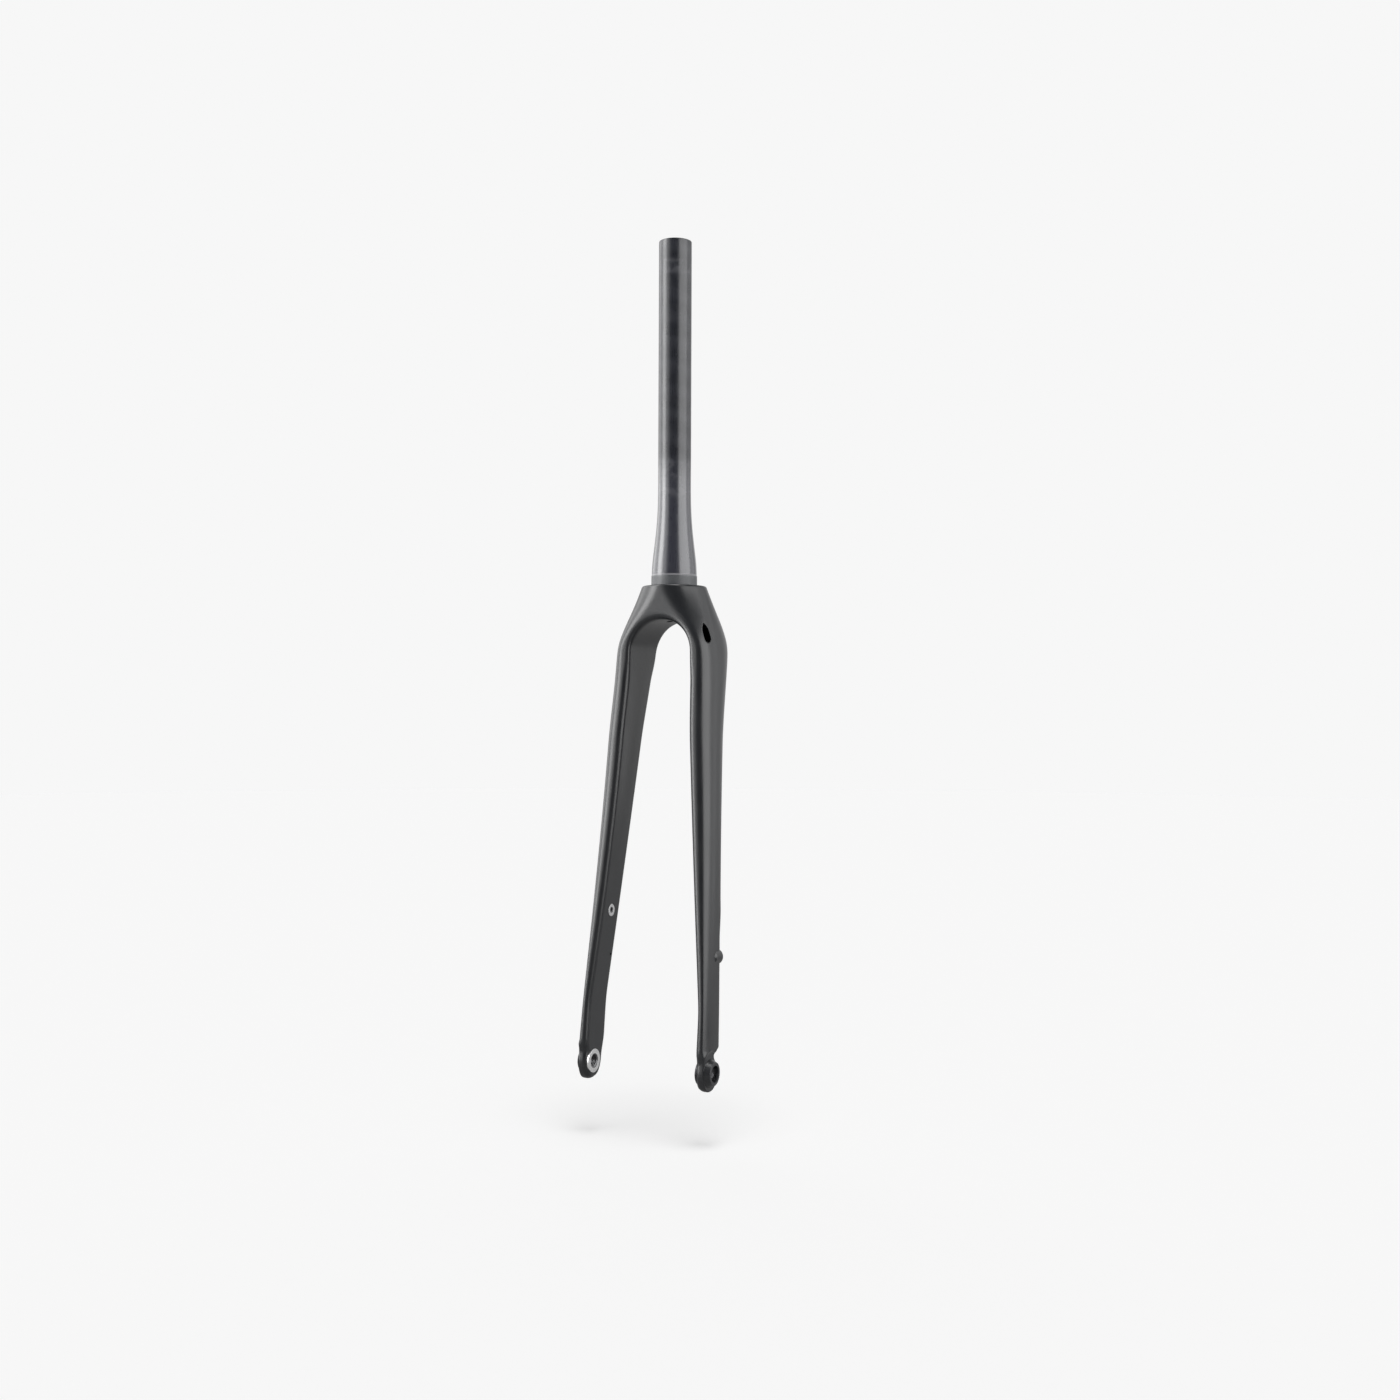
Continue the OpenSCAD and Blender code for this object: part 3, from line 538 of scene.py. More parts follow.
def port_outline():
    """Round lower end, parallel part, and two bowed sides x = r cos(90 t^1.3) that meet in a point."""
    rise = PORT_LEN - PORT_R - PORT_FLAT
    t = np.linspace(0, 1, 15)
    right = np.column_stack([PORT_R * np.cos(np.pi / 2 * t ** 1.3), PORT_FLAT + rise * t])
    a = np.linspace(np.pi, 2 * np.pi, 25)
    foot = np.column_stack([PORT_R * np.cos(a), PORT_R * np.sin(a)])
    low = np.linspace(0, PORT_FLAT, 5)[1:-1]
    right_low = np.column_stack([np.full(3, PORT_R), low])
    left_low = np.column_stack([np.full(3, -PORT_R), low[::-1]])
    left = right[-2::-1] * [-1, 1]
    return np.concatenate([foot, right_low, right, left, left_low])


def slot_outline(r, length):
    """Two half circles of radius r whose centres are length apart."""
    a = np.linspace(0, np.pi, 25)
    top = np.column_stack([r * np.cos(a), r * np.sin(a) + length / 2])
    return np.concatenate([top, -top])


def circle_outline(r):
    """Closed circle of radius r."""
    a = np.linspace(0, 2 * np.pi, 64, endpoint=False)
    return np.column_stack([r * np.cos(a), r * np.sin(a)])


combine(crown, [("UNION", boss(1, END_T)), ("UNION", boss(-1, THREAD_T)),
                ("UNION", mount_boss(True)), ("UNION", mount_boss(False))])
skin = surface_of(crown)

turn, lean = math.radians(PORT_TURN), math.radians(PORT_LEAN)
port_way = Vector((math.sin(turn), -math.cos(turn), 0))
port_side = Vector((math.cos(turn), math.sin(turn), 0))
port_up = Vector((0, 0, 1)) * math.cos(lean) - port_side * math.sin(lean)
port_mid = port_side * PORT_SIDE + Vector((0, 0, -PORT_H)) + port_way * PORT_START
port_mid -= port_up * (PORT_LEN / 2 - PORT_R)
port_frame = frame_at(port_mid, port_way, port_up.cross(port_way))
exit_h = AXLE_DROP - EXIT_H
exit_x = float(x_in(np.array(exit_h)) + x_out(np.array(exit_h))) / 2
exit_frame = frame_at((exit_x, -float(forward(np.array(exit_h))) + 40, -exit_h), (0, 1, 0), (1, 0, 0))
drain_h = AXLE_DROP - DRAIN_H
drain_y = -float(forward(np.array(drain_h))) + float(half_leg(np.array(drain_h))) - LEG_WALL - 1.5 * DRAIN_D
drain_frame = frame_at((-30, drain_y, -drain_h), (1, 0, 0))
under_frame = frame_at((0, 0, -ARCH_BASE), (0, 0, -1), (1, 0, 0))

groove_r = SEAT_R + SEAT_GROOVE
socket = [[0, -ROOT_LEN], [ROOT_R, -ROOT_LEN], [ROOT_R, -SEAT_FOOT],
          [groove_r, -SEAT_FOOT], [groove_r, 2], [0, 2]]
tools = [
    revolve("socket", socket, 192),
    well("under_hole", skin, circle_outline(UNDER_D / 2), under_frame, 0.8, 40),
    leg_hollow(1), leg_hollow(-1),
    bore(INSERT_R, -1, END_T - HEAD_RECESS, on_axle(1)), bore(INSERT_R - 1, -1, END_T + 2, on_axle(1)),
    bore(INSERT_R, -1, THREAD_T + 2, on_axle(-1)),
    well("port", skin, port_outline(), port_frame, 0.75, PORT_DEPTH),
    well("exit", skin, slot_outline(EXIT_D / 2, EXIT_LEN), exit_frame, 0.6, 40),
    well("drain", skin, circle_outline(DRAIN_D / 2), drain_frame, 0.25, 24),
]
for side in (1, -1):
    tools.append(bore(FLANGE_R + 0.08, -4, FLANGE_T, on_axle(side), 128))
    tools.append(bore(EYELET_FLANGE_R + 0.05, -2 * EYELET_SPOT, 0, on_eyelet(side)))
    tools.append(bore(EYELET_R, -2 * EYELET_SPOT, EYELET_LEN, on_eyelet(side)))
for upper in (True, False):
    tools.append(bore(MOUNT_INSERT_R + 0.05, -MOUNT_INSERT_LEN, 2, on_mount(upper)))
combine(crown, [("DIFFERENCE", t) for t in tools])


class Nodes:
    """Short way to write a node tree: add nodes, set values and link sockets."""

    def __init__(self, tree):
        self.tree = tree

    def fill(self, node, inputs):
        """Sets or links a node's inputs, as (socket, value or output socket) pairs."""
        for key, value in inputs:
            if isinstance(value, bpy.types.NodeSocket):
                self.tree.links.new(value, node.inputs[key])
            else:
                node.inputs[key].default_value = value

    def add(self, kind, inputs=(), **settings):
        """New node with its settings and inputs."""
        node = self.tree.nodes.new(kind)
        for key, value in settings.items():
            setattr(node, key, value)
        self.fill(node, inputs)
        return node

    def math(self, operation, a, b=0.0):
        """Math node's output."""
        return self.add("ShaderNodeMath", [(0, a), (1, b)], operation=operation).outputs[0]

    def times(self, first, *others):
        """Product of all values."""
        for value in others:
            first = self.math("MULTIPLY", first, value)
        return first

    def plus(self, first, *others):
        """Sum of all values."""
        for value in others:
            first = self.math("ADD", first, value)
        return first

    def vector(self, operation, a, b=(0, 0, 0)):
        """Vector math node, whose outputs are Vector and Value."""
        return self.add("ShaderNodeVectorMath", [(0, a), (1, b)], operation=operation).outputs

    def ramp(self, value, low, high, a=0.0, b=1.0, smoothly=True):
        """Map range from low..high to a..b, kept within it."""
        kind = "SMOOTHSTEP" if smoothly else "LINEAR"
        inputs = [("Value", value), ("From Min", low), ("From Max", high), ("To Min", a), ("To Max", b)]
        return self.add("ShaderNodeMapRange", inputs, interpolation_type=kind).outputs["Result"]

    def between(self, value, low, full, still, high):
        """0 up to low, 1 from full to still, and 0 again past high."""
        return self.times(self.ramp(value, low, full), self.ramp(value, high, still))

    def noise(self, vector, scale, detail=2.0, rough=0.5):
        """Noise texture's value at a scale in cells per metre."""
        inputs = [("Vector", vector), ("Scale", scale), ("Detail", detail), ("Roughness", rough)]
        return self.add("ShaderNodeTexNoise", inputs).outputs[0]

    def blend(self, factor, a, b):
        """Colour mix, from a at 0 to b at 1."""
        return self.add("ShaderNodeMix", [(0, factor), (6, a), (7, b)], data_type="RGBA").outputs[2]

    def bump(self, height, strength, distance):
        """Normal of a bumped surface, with the distance in millimetres."""
        inputs = [("Strength", strength), ("Distance", distance * MM), ("Height", height)]
        return self.add("ShaderNodeBump", inputs).outputs[0]

    def group(self, name, **inputs):
        """Outputs of a shared group, with its inputs set or linked by name."""
        tree = bpy.data.node_groups[name]
        return self.add("ShaderNodeGroup", inputs.items(), node_tree=tree).outputs


def new_group(name, inputs, outputs):
    """Shader node group: its nodes, its inputs by name and its output node.

    Each input is named with its usual value, a number or a vector. Every output is a number.
    """
    tree = bpy.data.node_groups.new(name, "ShaderNodeTree")
    for label, value in inputs.items():
        kind = "NodeSocketFloat" if isinstance(value, float) else "NodeSocketVector"
        tree.interface.new_socket(label, in_out="INPUT", socket_type=kind).default_value = value
    for label in outputs:
        tree.interface.new_socket(label, in_out="OUTPUT", socket_type="NodeSocketFloat")
    n = Nodes(tree)
    start = n.add("NodeGroupInput")
    return n, {s.name: s for s in start.outputs if s.name}, n.add("NodeGroupOutput")


def new_material(name):
    """Material with its nodes, its shader and its object coordinates."""
    m = bpy.data.materials.new(name)
    m.use_nodes = True
    n = Nodes(m.node_tree)
    shader = m.node_tree.nodes["Principled BSDF"]
    place = n.add("ShaderNodeTexCoord").outputs["Object"]
    return m, n, shader, place


def finish_piece(obj, node, material, angle=32.0):
    """Material, smooth faces with sharp edges by angle, and the piece's place in the frame."""
    obj.data.materials.clear()
    obj.data.materials.append(material)
    obj.data.shade_smooth()
    obj.data.set_sharp_from_angle(angle=math.radians(angle))
    mod = obj.modifiers.new("face_weighted", "WEIGHTED_NORMAL")
    mod.keep_sharp = True
    mod.weight = 60
    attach(obj, "root")
    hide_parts(node)


# Sprayed paint: fine orange peel, slight cloudiness of the satin, and sparse dust in the lacquer.
n, given, end = new_group("sprayed_paint", {"Place": (0, 0, 0), "Peel": 900.0}, ("Cloud", "Dust", "Height"))
peel = n.noise(given["Place"], given["Peel"], 2.0, 0.55)
fine = n.noise(given["Place"], 5200.0, 2.0, 0.6)
cloud = n.noise(given["Place"], 46.0, 3.0, 0.5)
cell = n.add("ShaderNodeTexVoronoi", [("Vector", given["Place"]), ("Scale", 260.0)])
pick = n.add("ShaderNodeSeparateColor", [("Color", cell.outputs["Color"])]).outputs[0]
speck = n.times(n.ramp(cell.outputs["Distance"], 0.045, 0.02), n.ramp(pick, 0.93, 0.95))
height = n.plus(n.times(peel, 0.75), n.times(fine, 0.25), n.times(speck, 0.6))
n.fill(end, [("Cloud", n.ramp(cloud, 0.3, 0.7)), ("Dust", speck), ("Height", height)])

# Satin black, a little lighter in its clouds.
PAINT, PAINT_CLOUD, DUST = (0.0105, 0.0112, 0.0128, 1), (0.0150, 0.0157, 0.0174, 1), (0.05, 0.051, 0.053, 1)
paint, n, shader, place = new_material("satin_painted_carbon")
spray = n.group("sprayed_paint", Place=place)
colour = n.blend(n.times(spray["Cloud"], 0.35), PAINT, PAINT_CLOUD)
colour = n.blend(spray["Dust"], colour, DUST)
rough = n.ramp(spray["Cloud"], 0.0, 1.0, 0.29, 0.34, False)
n.fill(shader, [("Base Color", colour), ("Roughness", rough), ("Normal", n.bump(spray["Height"], 0.10, 0.05)),
                ("IOR", 1.5), ("Coat Weight", 0.0)])
finish_piece(crown, "crown_and_legs", paint)


# Steerer tube
# A wound and pressed carbon tube, tapered to a wider seat for the lower headset race, left
# unpainted with a glossy resin skin. It is one revolved profile with its real bore.
STEERER_LEN, STEERER_R, STEERER_WALL, TOP_CHAMFER = 300.0, 14.3, 2.7, 0.6
TAPER_H, TAPER_POWER, SEAT_H, SEAT_STEP, SEAT_WALL = 95.0, 1.65, 9.0, 0.3, 3.4


def taper(t, narrow, wide):
    """Radius along the taper, t from 0 at its top: narrow + (wide - narrow) smooth(t^p)."""
    return mix(narrow, wide, smooth(t ** TAPER_POWER))


t = np.linspace(0, 1, 60)
foot_z = SEAT_H + SEAT_STEP
outside = np.column_stack([taper(t, STEERER_R, SEAT_R - SEAT_STEP), mix(TAPER_H, foot_z, t)])[::-1]
inside = np.column_stack([taper(t, STEERER_R - STEERER_WALL, SEAT_R - SEAT_WALL), mix(TAPER_H, foot_z, t)])
bore_r = STEERER_R - STEERER_WALL
straight = np.linspace(TAPER_H, STEERER_LEN - TOP_CHAMFER, 28)[1:]
profile = np.concatenate([
    [[ROOT_R, -ROOT_LEN], [ROOT_R, -SEAT_FOOT], [SEAT_R, -SEAT_FOOT]],
    [[SEAT_R, SEAT_H - 0.15], [SEAT_R - 0.06, SEAT_H]],
    outside,
    np.column_stack([np.full(27, STEERER_R), straight]),
    [[STEERER_R - 0.2, STEERER_LEN - 0.22], [STEERER_R - TOP_CHAMFER, STEERER_LEN]],
    [[bore_r + TOP_CHAMFER, STEERER_LEN], [bore_r, STEERER_LEN - TOP_CHAMFER]],
    np.column_stack([np.full(26, bore_r), straight[-2::-1]]),
    inside,
    [[SEAT_R - SEAT_WALL, -ROOT_LEN]],
])
steerer = revolve("steerer_tube_carbon", profile, 256, closed=True)

# Ply wraps: cloth layers round a tube, seen as soft helical bands with ragged overlap edges.
n, given, end = new_group("ply_wraps", {"Place": (0, 0, 0), "Pitch": 0.021}, ("Band", "Edge", "Fibre"))
x, y, z = n.add("ShaderNodeSeparateXYZ", [("Vector", given["Place"])]).outputs
around = n.math("DIVIDE", n.math("ARCTAN2", y, x), 2 * math.pi)
wander = n.times(n.noise(given["Place"], 70.0, 3.0, 0.6), 0.35)
turns = n.plus(n.math("DIVIDE", z, given["Pitch"]), around, wander)
from_middle = n.math("ABSOLUTE", n.math("SUBTRACT", n.math("FRACT", turns), 0.5))
threads = n.add("ShaderNodeCombineXYZ", [(0, n.times(around, 190.0)), (1, n.times(turns, 1.2)),
                                         (2, n.times(z, 18.0))])
n.fill(end, [("Band", n.ramp(from_middle, 0.1, 0.45)), ("Edge", n.ramp(from_middle, 0.03, 0.0)),
             ("Fibre", n.noise(threads.outputs[0], 1.0, 3.0, 0.6))])

# Resin-glossed carbon, glossier and more even in the taper, where a lighter colour is painted as sheen,
# with ply marks at two heights, a seat sanded dull with a highlight painted along the step above it,
# and a matt sawn end. Heights are in metres.
# The taper's lighter colour is a painted sheen, and the light line over the seat is a painted highlight on
# its step.
RESIN, RESIN_BAND, PAINTED_TAPER_SHEEN = (0.012, 0.013, 0.017, 1), (0.020, 0.021, 0.026, 1), (0.026, 0.027, 0.036, 1)
PLY_MARK, SANDED, PAINTED_STEP_HIGHLIGHT = (0.09, 0.09, 0.10, 1), (0.066, 0.070, 0.074, 1), (0.15, 0.15, 0.16, 1)
SAWN = (0.030, 0.030, 0.031, 1)
raw, n, shader, place = new_material("glossy_raw_carbon")
plies = n.group("ply_wraps", Place=place)
z = n.add("ShaderNodeSeparateXYZ", [("Vector", place)]).outputs[2]
grain = n.noise(n.vector("MULTIPLY", place, (1, 1, 5))[0], 900.0, 4.0, 0.65)
patch = n.ramp(n.noise(place, 95.0, 4.0, 0.6), 0.46, 0.60)
in_taper = n.between(z, 0.006, 0.012, 0.085, 0.118)
at_seat = n.ramp(z, 0.0095, 0.0085)
# Band along the seat's step, where a highlight is painted.
step_highlight_band = n.between(z, 0.0084, 0.0090, 0.0098, 0.0106)
sawn = n.ramp(z, 0.2996, 0.2999)
marked = n.plus(n.between(z, 0.074, 0.080, 0.106, 0.112), n.between(z, 0.268, 0.272, 0.280, 0.284))
colour = n.blend(plies["Band"], RESIN, RESIN_BAND)
# A painted sheen: the taper is coloured lighter over the ply bands.
colour = n.blend(n.times(in_taper, 0.85), colour, PAINTED_TAPER_SHEEN)
colour = n.blend(n.times(patch, marked, 0.35), colour, PLY_MARK)
colour = n.blend(n.times(at_seat, n.ramp(grain, 0.25, 0.75, 0.45, 0.9)), colour, SANDED)
# A painted highlight along the seat's step, lighter than the carbon.
colour = n.blend(n.times(step_highlight_band, 0.7), colour, PAINTED_STEP_HIGHLIGHT)
colour = n.blend(sawn, colour, SAWN)
rough = n.plus(n.ramp(plies["Fibre"], 0.3, 0.7, 0.25, 0.33, False), n.times(patch, 0.05),
               n.times(n.plus(at_seat, sawn), 0.22))
height = n.plus(n.times(plies["Edge"], patch, 0.12), n.times(plies["Fibre"], 0.06),
                n.times(patch, marked, 0.5), n.times(grain, at_seat, 0.4))
coat = n.ramp(in_taper, 0.0, 1.0, 0.12, 0.80, False)
n.fill(shader, [("Base Color", colour), ("Roughness", rough), ("Normal", n.bump(height, 0.3, 0.06)),
                ("Coat Weight", coat), ("Coat Roughness", 0.20), ("IOR", 1.5)])
finish_piece(steerer, "steerer_tube", raw)


# Drive-side axle insert
# Turned aluminium bushing whose silver flange faces the hub, tapped M12 x 1.5 for the axle and
# bonded into the leg end. It is a sleeve with a real helical thread, as the small inserts are.
AXLE_D, AXLE_PITCH = 12.0, 1.5


def sleeve(name, matrix, flange_r, flange_t, body_r, length, major_r, minor_r, pitch, mouth,
           steps=96, edge=0.15):
    """Sleeve from its flange's face along +Z. With a pitch of 0 the bore is plain.

    Bore radius: minor + (major - minor) clip(1.45 tri - 0.2), with tri the triangle wave of
    z/pitch - a/2pi, and never under the cone of the mouth's chamfer at either end.
    """
    a = np.linspace(0, 2 * np.pi, steps, endpoint=False)[None, :]
    rows = int(round(length / pitch * 16)) + 1 if pitch else 12
    z = np.linspace(0, length, rows)[:, None]
    if pitch:
        phase = z / pitch - a / (2 * np.pi)
        tri = np.abs(2 * (phase - np.floor(phase)) - 1)
        bore_radius = minor_r + (major_r - minor_r) * np.clip(1.45 * tri - 0.2, 0, 1)
    else:
        bore_radius = np.full((rows, steps), minor_r)
    cone = minor_r + mouth - np.minimum(z, length - z)
    bore_radius = np.maximum(bore_radius, np.repeat(cone, steps, 1))
    if flange_r > body_r:
        rim = arc(flange_r - edge, flange_t - edge, edge, 90, 0, 3)
        rim += arc(flange_r - edge, edge, edge, 0, -90, 3)
        outer = [[body_r - edge, length], [body_r, length - edge], [body_r, flange_t]] + rim
    else:
        outer = [[body_r - edge, length], [body_r, length - edge], [body_r, edge], [body_r - edge, 0]]
    outer = np.array(outer)
    outer_r = np.repeat(outer[:, :1], steps, 1)
    r = np.concatenate([bore_radius, outer_r])
    zz = np.concatenate([np.repeat(z, steps, 1), np.repeat(outer[:, 1:], steps, 1)])
    points = np.stack([r * np.cos(a), r * np.sin(a), zz], -1)
    return make_object(name, points, grid_faces(len(r), steps, True).tolist(), matrix)


def minor(major, pitch):
    """Radius of a tapped hole before threading: (d - 1.0825 p) / 2."""
    return (2 * major - 1.0825 * pitch) / 2


# Turned metal: fine rings round an axis through Centre, with a slight unevenness, and a mask for
# the bore's inside, where grey is painted in as shade.
n, given, end = new_group("turned_metal", {"Place": (0, 0, 0), "Centre": (0, 0, 0), "Along": (1, 0, 0),
                                           "Rings": 9000.0, "Bore": 0.006}, ("Ring", "Smear", "Inside"))
from_centre = n.vector("SUBTRACT", given["Place"], given["Centre"])[0]
depth = n.vector("DOT_PRODUCT", from_centre, given["Along"])["Value"]
along = n.add("ShaderNodeVectorMath", [(0, given["Along"]), ("Scale", depth)], operation="SCALE").outputs[0]
radius = n.vector("LENGTH", n.vector("SUBTRACT", from_centre, along)[0])["Value"]
line = n.add("ShaderNodeCombineXYZ", [(0, n.plus(radius, depth)), (1, n.math("SUBTRACT", radius, depth))])
n.fill(end, [("Ring", n.noise(line.outputs[0], given["Rings"], 3.0, 0.7)),
             ("Inside", n.ramp(n.math("DIVIDE", radius, given["Bore"]), 1.06, 1.0)),
             ("Smear", n.ramp(n.noise(given["Place"], 420.0, 3.0, 0.6), 0.35, 0.7))])
# Grey painted into the bores as shade.
PAINTED_BORE_SHADE = (0.16, 0.16, 0.165, 1)


def turned(name, centre, along, dark, light, rough_low, rough_high, rings, bore_radius):
    """Metal with turning marks round an axis: rings per metre, and painted shade in grey inside the bore."""
    m, n, shader, place = new_material(name)
    marks = n.group("turned_metal", Place=place, Centre=[c * MM for c in centre], Along=along, Rings=rings,
                    Bore=bore_radius * MM)
    # Inside the bore the colour turns to a painted shade of grey.
    colour = n.blend(marks["Inside"], n.blend(marks["Smear"], dark, light), PAINTED_BORE_SHADE)
    rough = n.ramp(marks["Ring"], 0.3, 0.7, rough_low, rough_high, False)
    n.fill(shader, [("Base Color", colour), ("Roughness", rough), ("Metallic", 1.0),
                    ("Normal", n.bump(marks["Ring"], 0.25, 0.03))])
    return m


drive_insert = sleeve("drive_side_axle_insert_turned", on_axle(-1), FLANGE_R, FLANGE_T, INSERT_R, THREAD_T,
                      AXLE_D / 2, minor(AXLE_D / 2, AXLE_PITCH), AXLE_PITCH,
                      mouth=0.8, steps=160, edge=0.2)
silver = turned("machined_aluminium", (0, -RAKE, -AXLE_DROP), (1, 0, 0),
                (0.78, 0.78, 0.79, 1), (0.88, 0.88, 0.88, 1), 0.22, 0.36, 9000.0, AXLE_D / 2)
finish_piece(drive_insert, "drive_side_axle_insert", silver, 40)

# Brake-side axle insert
# The same bushing with a plain reamed bore, which guides the axle's shank. It is near-black metal,
# as the photograph shows no silver edge there.
AXLE_GAP = 0.1

plain_r = AXLE_D / 2 + AXLE_GAP
brake_insert = sleeve("brake_side_axle_insert_turned", on_axle(1), FLANGE_R, FLANGE_T, INSERT_R,
                      END_T - HEAD_RECESS, plain_r, plain_r, pitch=0, mouth=0.4, steps=160, edge=0.2)
black = turned("near_black_aluminium", (0, -RAKE, -AXLE_DROP), (1, 0, 0),
               (0.045, 0.046, 0.050, 1), (0.070, 0.071, 0.075, 1), 0.30, 0.44, 9000.0, AXLE_D / 2)
finish_piece(brake_insert, "brake_side_axle_insert", black, 40)

# Mudguard eyelets
# Small stainless rivet-like nuts with a thin flange, pressed and bonded into flats on the legs'
# inner faces and tapped M5.
EYELET_FLANGE_T, SCREW_D, SCREW_PITCH = 0.8, 5.0, 0.8


def stainless(name, centre, along):
    """Turned stainless steel with its marks round a screw's axis."""
    dark, light = (0.56, 0.56, 0.57, 1), (0.66, 0.66, 0.66, 1)
    return turned(name, centre, along, dark, light, 0.24, 0.38, 12000.0, SCREW_D / 2)


eyelet_y = -float(forward(np.array(AXLE_DROP - EYELET_H)))
steel_across = stainless("stainless_eyelets", (0, eyelet_y, -(AXLE_DROP - EYELET_H)), (1, 0, 0))
for side, node in ((-1, "mudguard_eyelet_drive_side"), (1, "mudguard_eyelet_brake_side")):
    seat = on_eyelet(side) @ Matrix.Translation((0, 0, -EYELET_FLANGE_T * MM))
    eyelet = sleeve(node + "_turned", seat, EYELET_FLANGE_R, EYELET_FLANGE_T, EYELET_R,
                    EYELET_LEN + EYELET_FLANGE_T, SCREW_D / 2, minor(SCREW_D / 2, SCREW_PITCH),
                    SCREW_PITCH, mouth=0.5)
    finish_piece(eyelet, node, steel_across, 40)

# Brake mount inserts
# Stainless threaded sleeves, bonded in flush with the two pads that the brake adaptor bolts to.
# They have no flange.
mount_normal = (0, math.cos(MOUNT_TILT), -math.sin(MOUNT_TILT))
upper_z, lower_z = MOUNT_H + MOUNT_PITCH - AXLE_DROP, MOUNT_H - AXLE_DROP
steel_up = stainless("stainless_mount_upper", (MOUNT_X, -MOUNT_UP_F, upper_z), mount_normal)
steel_low = stainless("stainless_mount_lower", (MOUNT_X, -MOUNT_LOW_F, lower_z), mount_normal)
for upper, node, steel in ((True, "brake_mount_insert_upper", steel_up),
                           (False, "brake_mount_insert_lower", steel_low)):
    seat = on_mount(upper) @ Matrix.Rotation(math.pi, 4, "X")
    insert = sleeve(node + "_turned", seat, MOUNT_INSERT_R, 0.5, MOUNT_INSERT_R, MOUNT_INSERT_LEN,
                    SCREW_D / 2, minor(SCREW_D / 2, SCREW_PITCH), SCREW_PITCH, mouth=0.5)
    finish_piece(insert, node, steel, 40)


# Floor and surround
# A pale floor well below the hanging fork, and a plain bright surround. The camera sees both in
# the same tone. In reflections and as light, the surround is bright only behind the fork.
FLOOR_Z, FLOOR_R, FLOOR_T = -467.0, 6000.0, 5.0
FLOOR_SEEN, FLOOR_GLOW, SURROUND_SEEN = 0.571, 0.08, 0.93
VIEW_TURN = math.radians(25.87)
FLOOR_FOOT = FLOOR_Z - FLOOR_T
floor = revolve("floor", [[0, FLOOR_Z], [FLOOR_R, FLOOR_Z], [FLOOR_R, FLOOR_FOOT], [0, FLOOR_FOOT]], 64)
pale, n, shader, place = new_material("pale_floor")
shade = n.ramp(n.noise(place, 30.0, 2.0), 0.0, 1.0, 0.60, 0.61, False)
grey = n.add("ShaderNodeCombineColor", [(0, shade), (1, shade), (2, shade)]).outputs[0]
seen = n.add("ShaderNodeLightPath").outputs["Is Camera Ray"]
glow = n.plus(n.times(seen, FLOOR_SEEN - FLOOR_GLOW), FLOOR_GLOW)
n.fill(shader, [("Base Color", grey), ("Emission Strength", glow), ("Emission Color", (1, 1, 1, 1)),
                ("Roughness", 1.0), ("Specular IOR Level", 0.0)])
floor.data.materials.append(pale)
floor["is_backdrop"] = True

world = bpy.data.worlds.new("studio")
scene.world = world
world.use_nodes = True
world.node_tree.nodes.clear()
n = Nodes(world.node_tree)
way = n.add("ShaderNodeTexCoord").outputs["Generated"]
ahead = (-math.sin(VIEW_TURN), math.cos(VIEW_TURN), 0.0)
behind = n.ramp(n.vector("DOT_PRODUCT", way, ahead)["Value"], 0.30, 0.92, 0.02, 0.85)
seen = n.add("ShaderNodeLightPath").outputs["Is Camera Ray"]
level = n.add("ShaderNodeMix", [(0, seen), (2, behind), (3, SURROUND_SEEN)], data_type="FLOAT").outputs[0]
back = n.add("ShaderNodeBackground", [("Color", (1, 1, 1, 1)), ("Strength", level)])
n.add("ShaderNodeOutputWorld", [("Surface", back.outputs[0])])


# Lights
# Tall softboxes on both sides, which draw the long reflections down the legs and the steerer and
# light the fork alone, and a wide overhead light that casts the soft shadow on the floor.
SUN_POWER, SUN_SPREAD, SUN_TILT = 1.45, math.radians(26), (math.radians(3), math.radians(5), 0)


def softbox(name, azimuth, height, distance, width, tall, power, aim_z):
    """Area light, in metres and watts, aimed at a height over the ledge.

    The azimuth is in degrees: 0 is straight in front, and + is toward the brake side.
    """
    data = bpy.data.lights.new(name, "AREA")
    data.shape, data.size, data.size_y, data.energy = "RECTANGLE", width, tall, power
    obj = bpy.data.objects.new(name, data)
    a = math.radians(azimuth)
    place = Vector((math.sin(a) * distance, -math.cos(a) * distance, height))
    obj.location = place
    aim = Vector((0, -0.02, aim_z)) - place
    obj.rotation_euler = aim.to_track_quat("-Z", "Y").to_euler()
    obj.visible_camera = False
    scene.collection.objects.link(obj)
    return obj


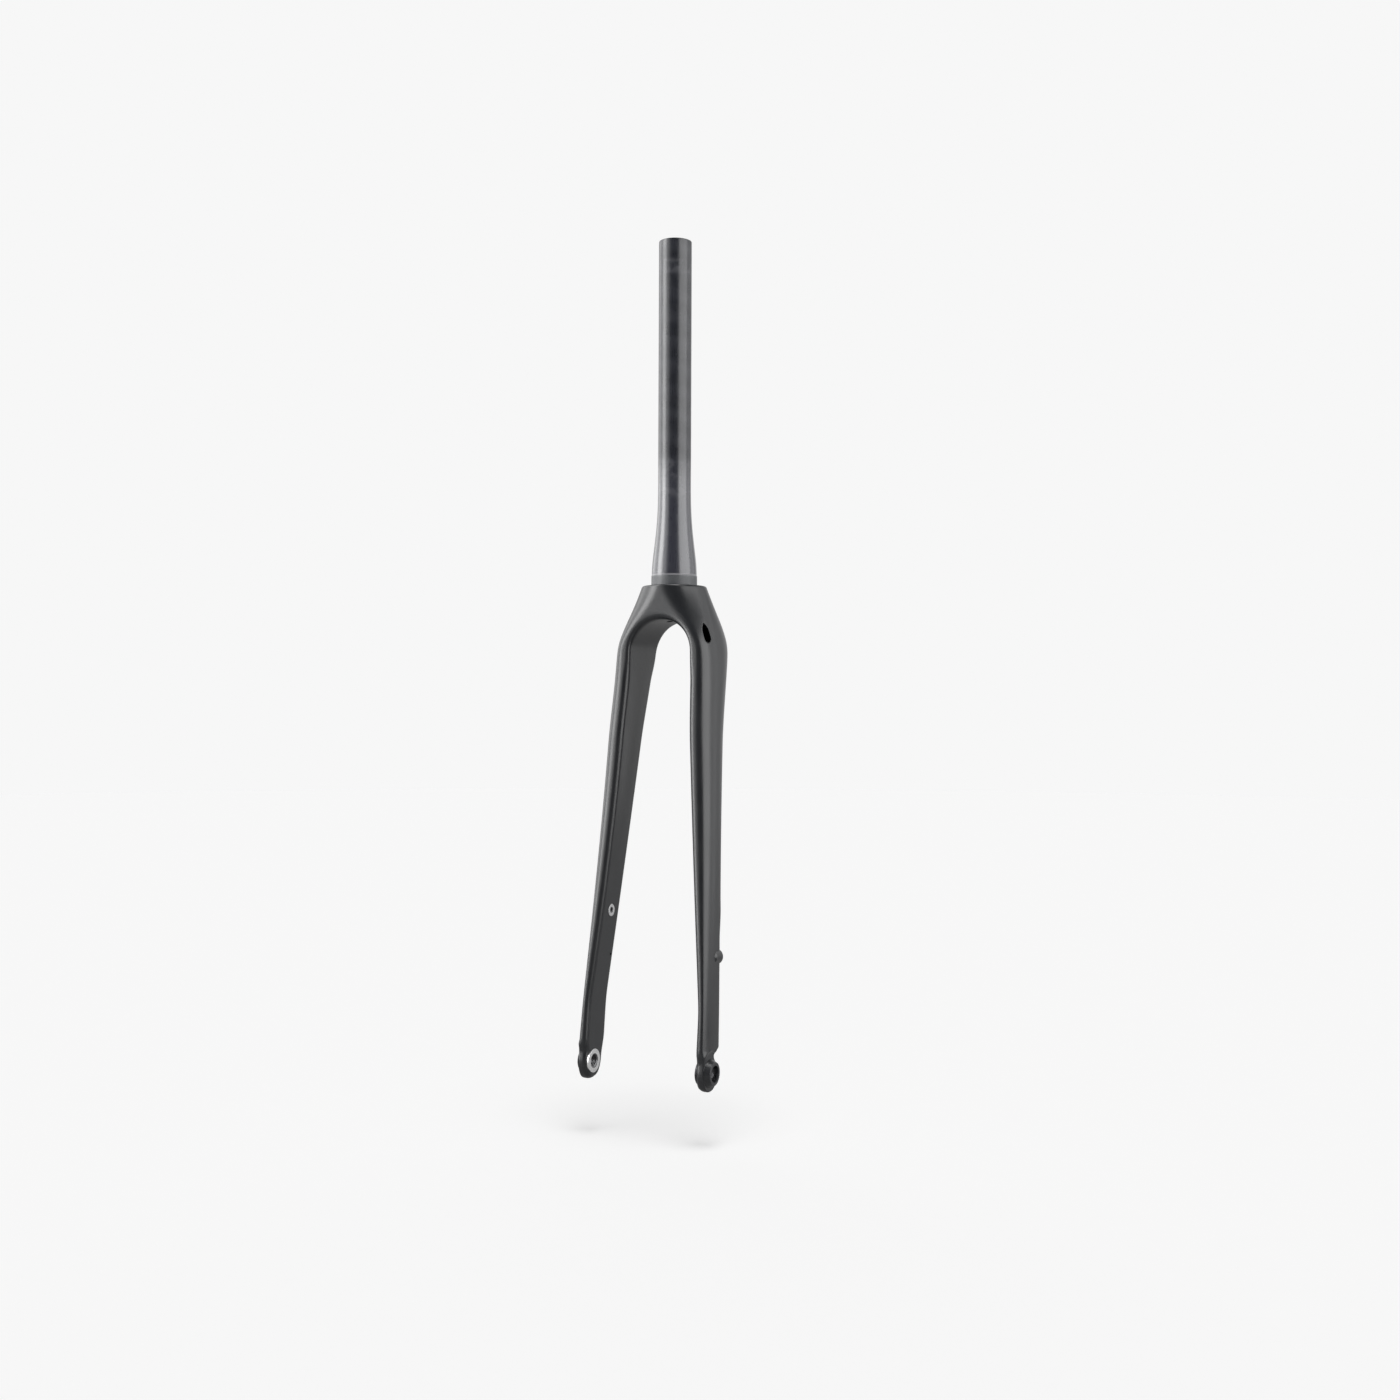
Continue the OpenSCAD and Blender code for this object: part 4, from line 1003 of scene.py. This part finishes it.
lights = [
    softbox("left_box", -54, 0.55, 1.6, 0.80, 2.3, 46.0, 0.25),
    softbox("left_side_box", -92, 0.5, 1.6, 1.2, 2.3, 20.0, 0.2),
    softbox("front_left_box", -29, 0.5, 1.7, 0.85, 2.2, 11.0, 0.2),
    softbox("right_box", 84, 0.30, 1.7, 1.95, 1.9, 46.0, 0.0),
    softbox("back_right_box", 130, 0.35, 1.8, 1.2, 2.1, 10.0, 0.0),
]
sun = bpy.data.lights.new("overhead", "SUN")
sun.energy, sun.angle = SUN_POWER, SUN_SPREAD
sun_obj = bpy.data.objects.new("overhead", sun)
sun_obj.rotation_euler = SUN_TILT
scene.collection.objects.link(sun_obj)

lit = bpy.data.collections.new("lit_pieces")
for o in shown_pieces():
    if o is not floor:
        lit.objects.link(o)
for light in lights:
    light.light_linking.receiver_collection = lit

# Camera
# At the photograph's viewing angle, fitted to the steerer, crown, legs and both leg ends. The
# place is in metres, and the focal length is in pixels of the picture.
VIEW_FROM, VIEW_PITCH, VIEW_ROLL = (0.6268, -1.2404, -0.1078), math.radians(0.384), math.radians(0.2)
FOCAL_PIXELS, PICTURE_PIXELS, SENSOR = 1599.57, 1400, 36.0
across = math.cos(VIEW_PITCH)
view_way = Vector((-math.sin(VIEW_TURN) * across, math.cos(VIEW_TURN) * across, math.sin(VIEW_PITCH)))
right = view_way.cross(Vector((0, 0, 1))).normalized()
up = right.cross(view_way)
cos_roll, sin_roll = math.cos(VIEW_ROLL), math.sin(VIEW_ROLL)
right, up = right * cos_roll + up * sin_roll, up * cos_roll - right * sin_roll
camera = bpy.data.cameras.new("camera")
camera.sensor_width = SENSOR
camera.lens = FOCAL_PIXELS / PICTURE_PIXELS * SENSOR
camera.clip_end = 50
camera_obj = bpy.data.objects.new("camera", camera)
stand = Matrix((right, up, -view_way)).transposed().to_4x4()
stand.translation = Vector(VIEW_FROM)
camera_obj.matrix_world = stand
scene.collection.objects.link(camera_obj)
scene.camera = camera_obj
scene.view_settings.view_transform = "Standard"
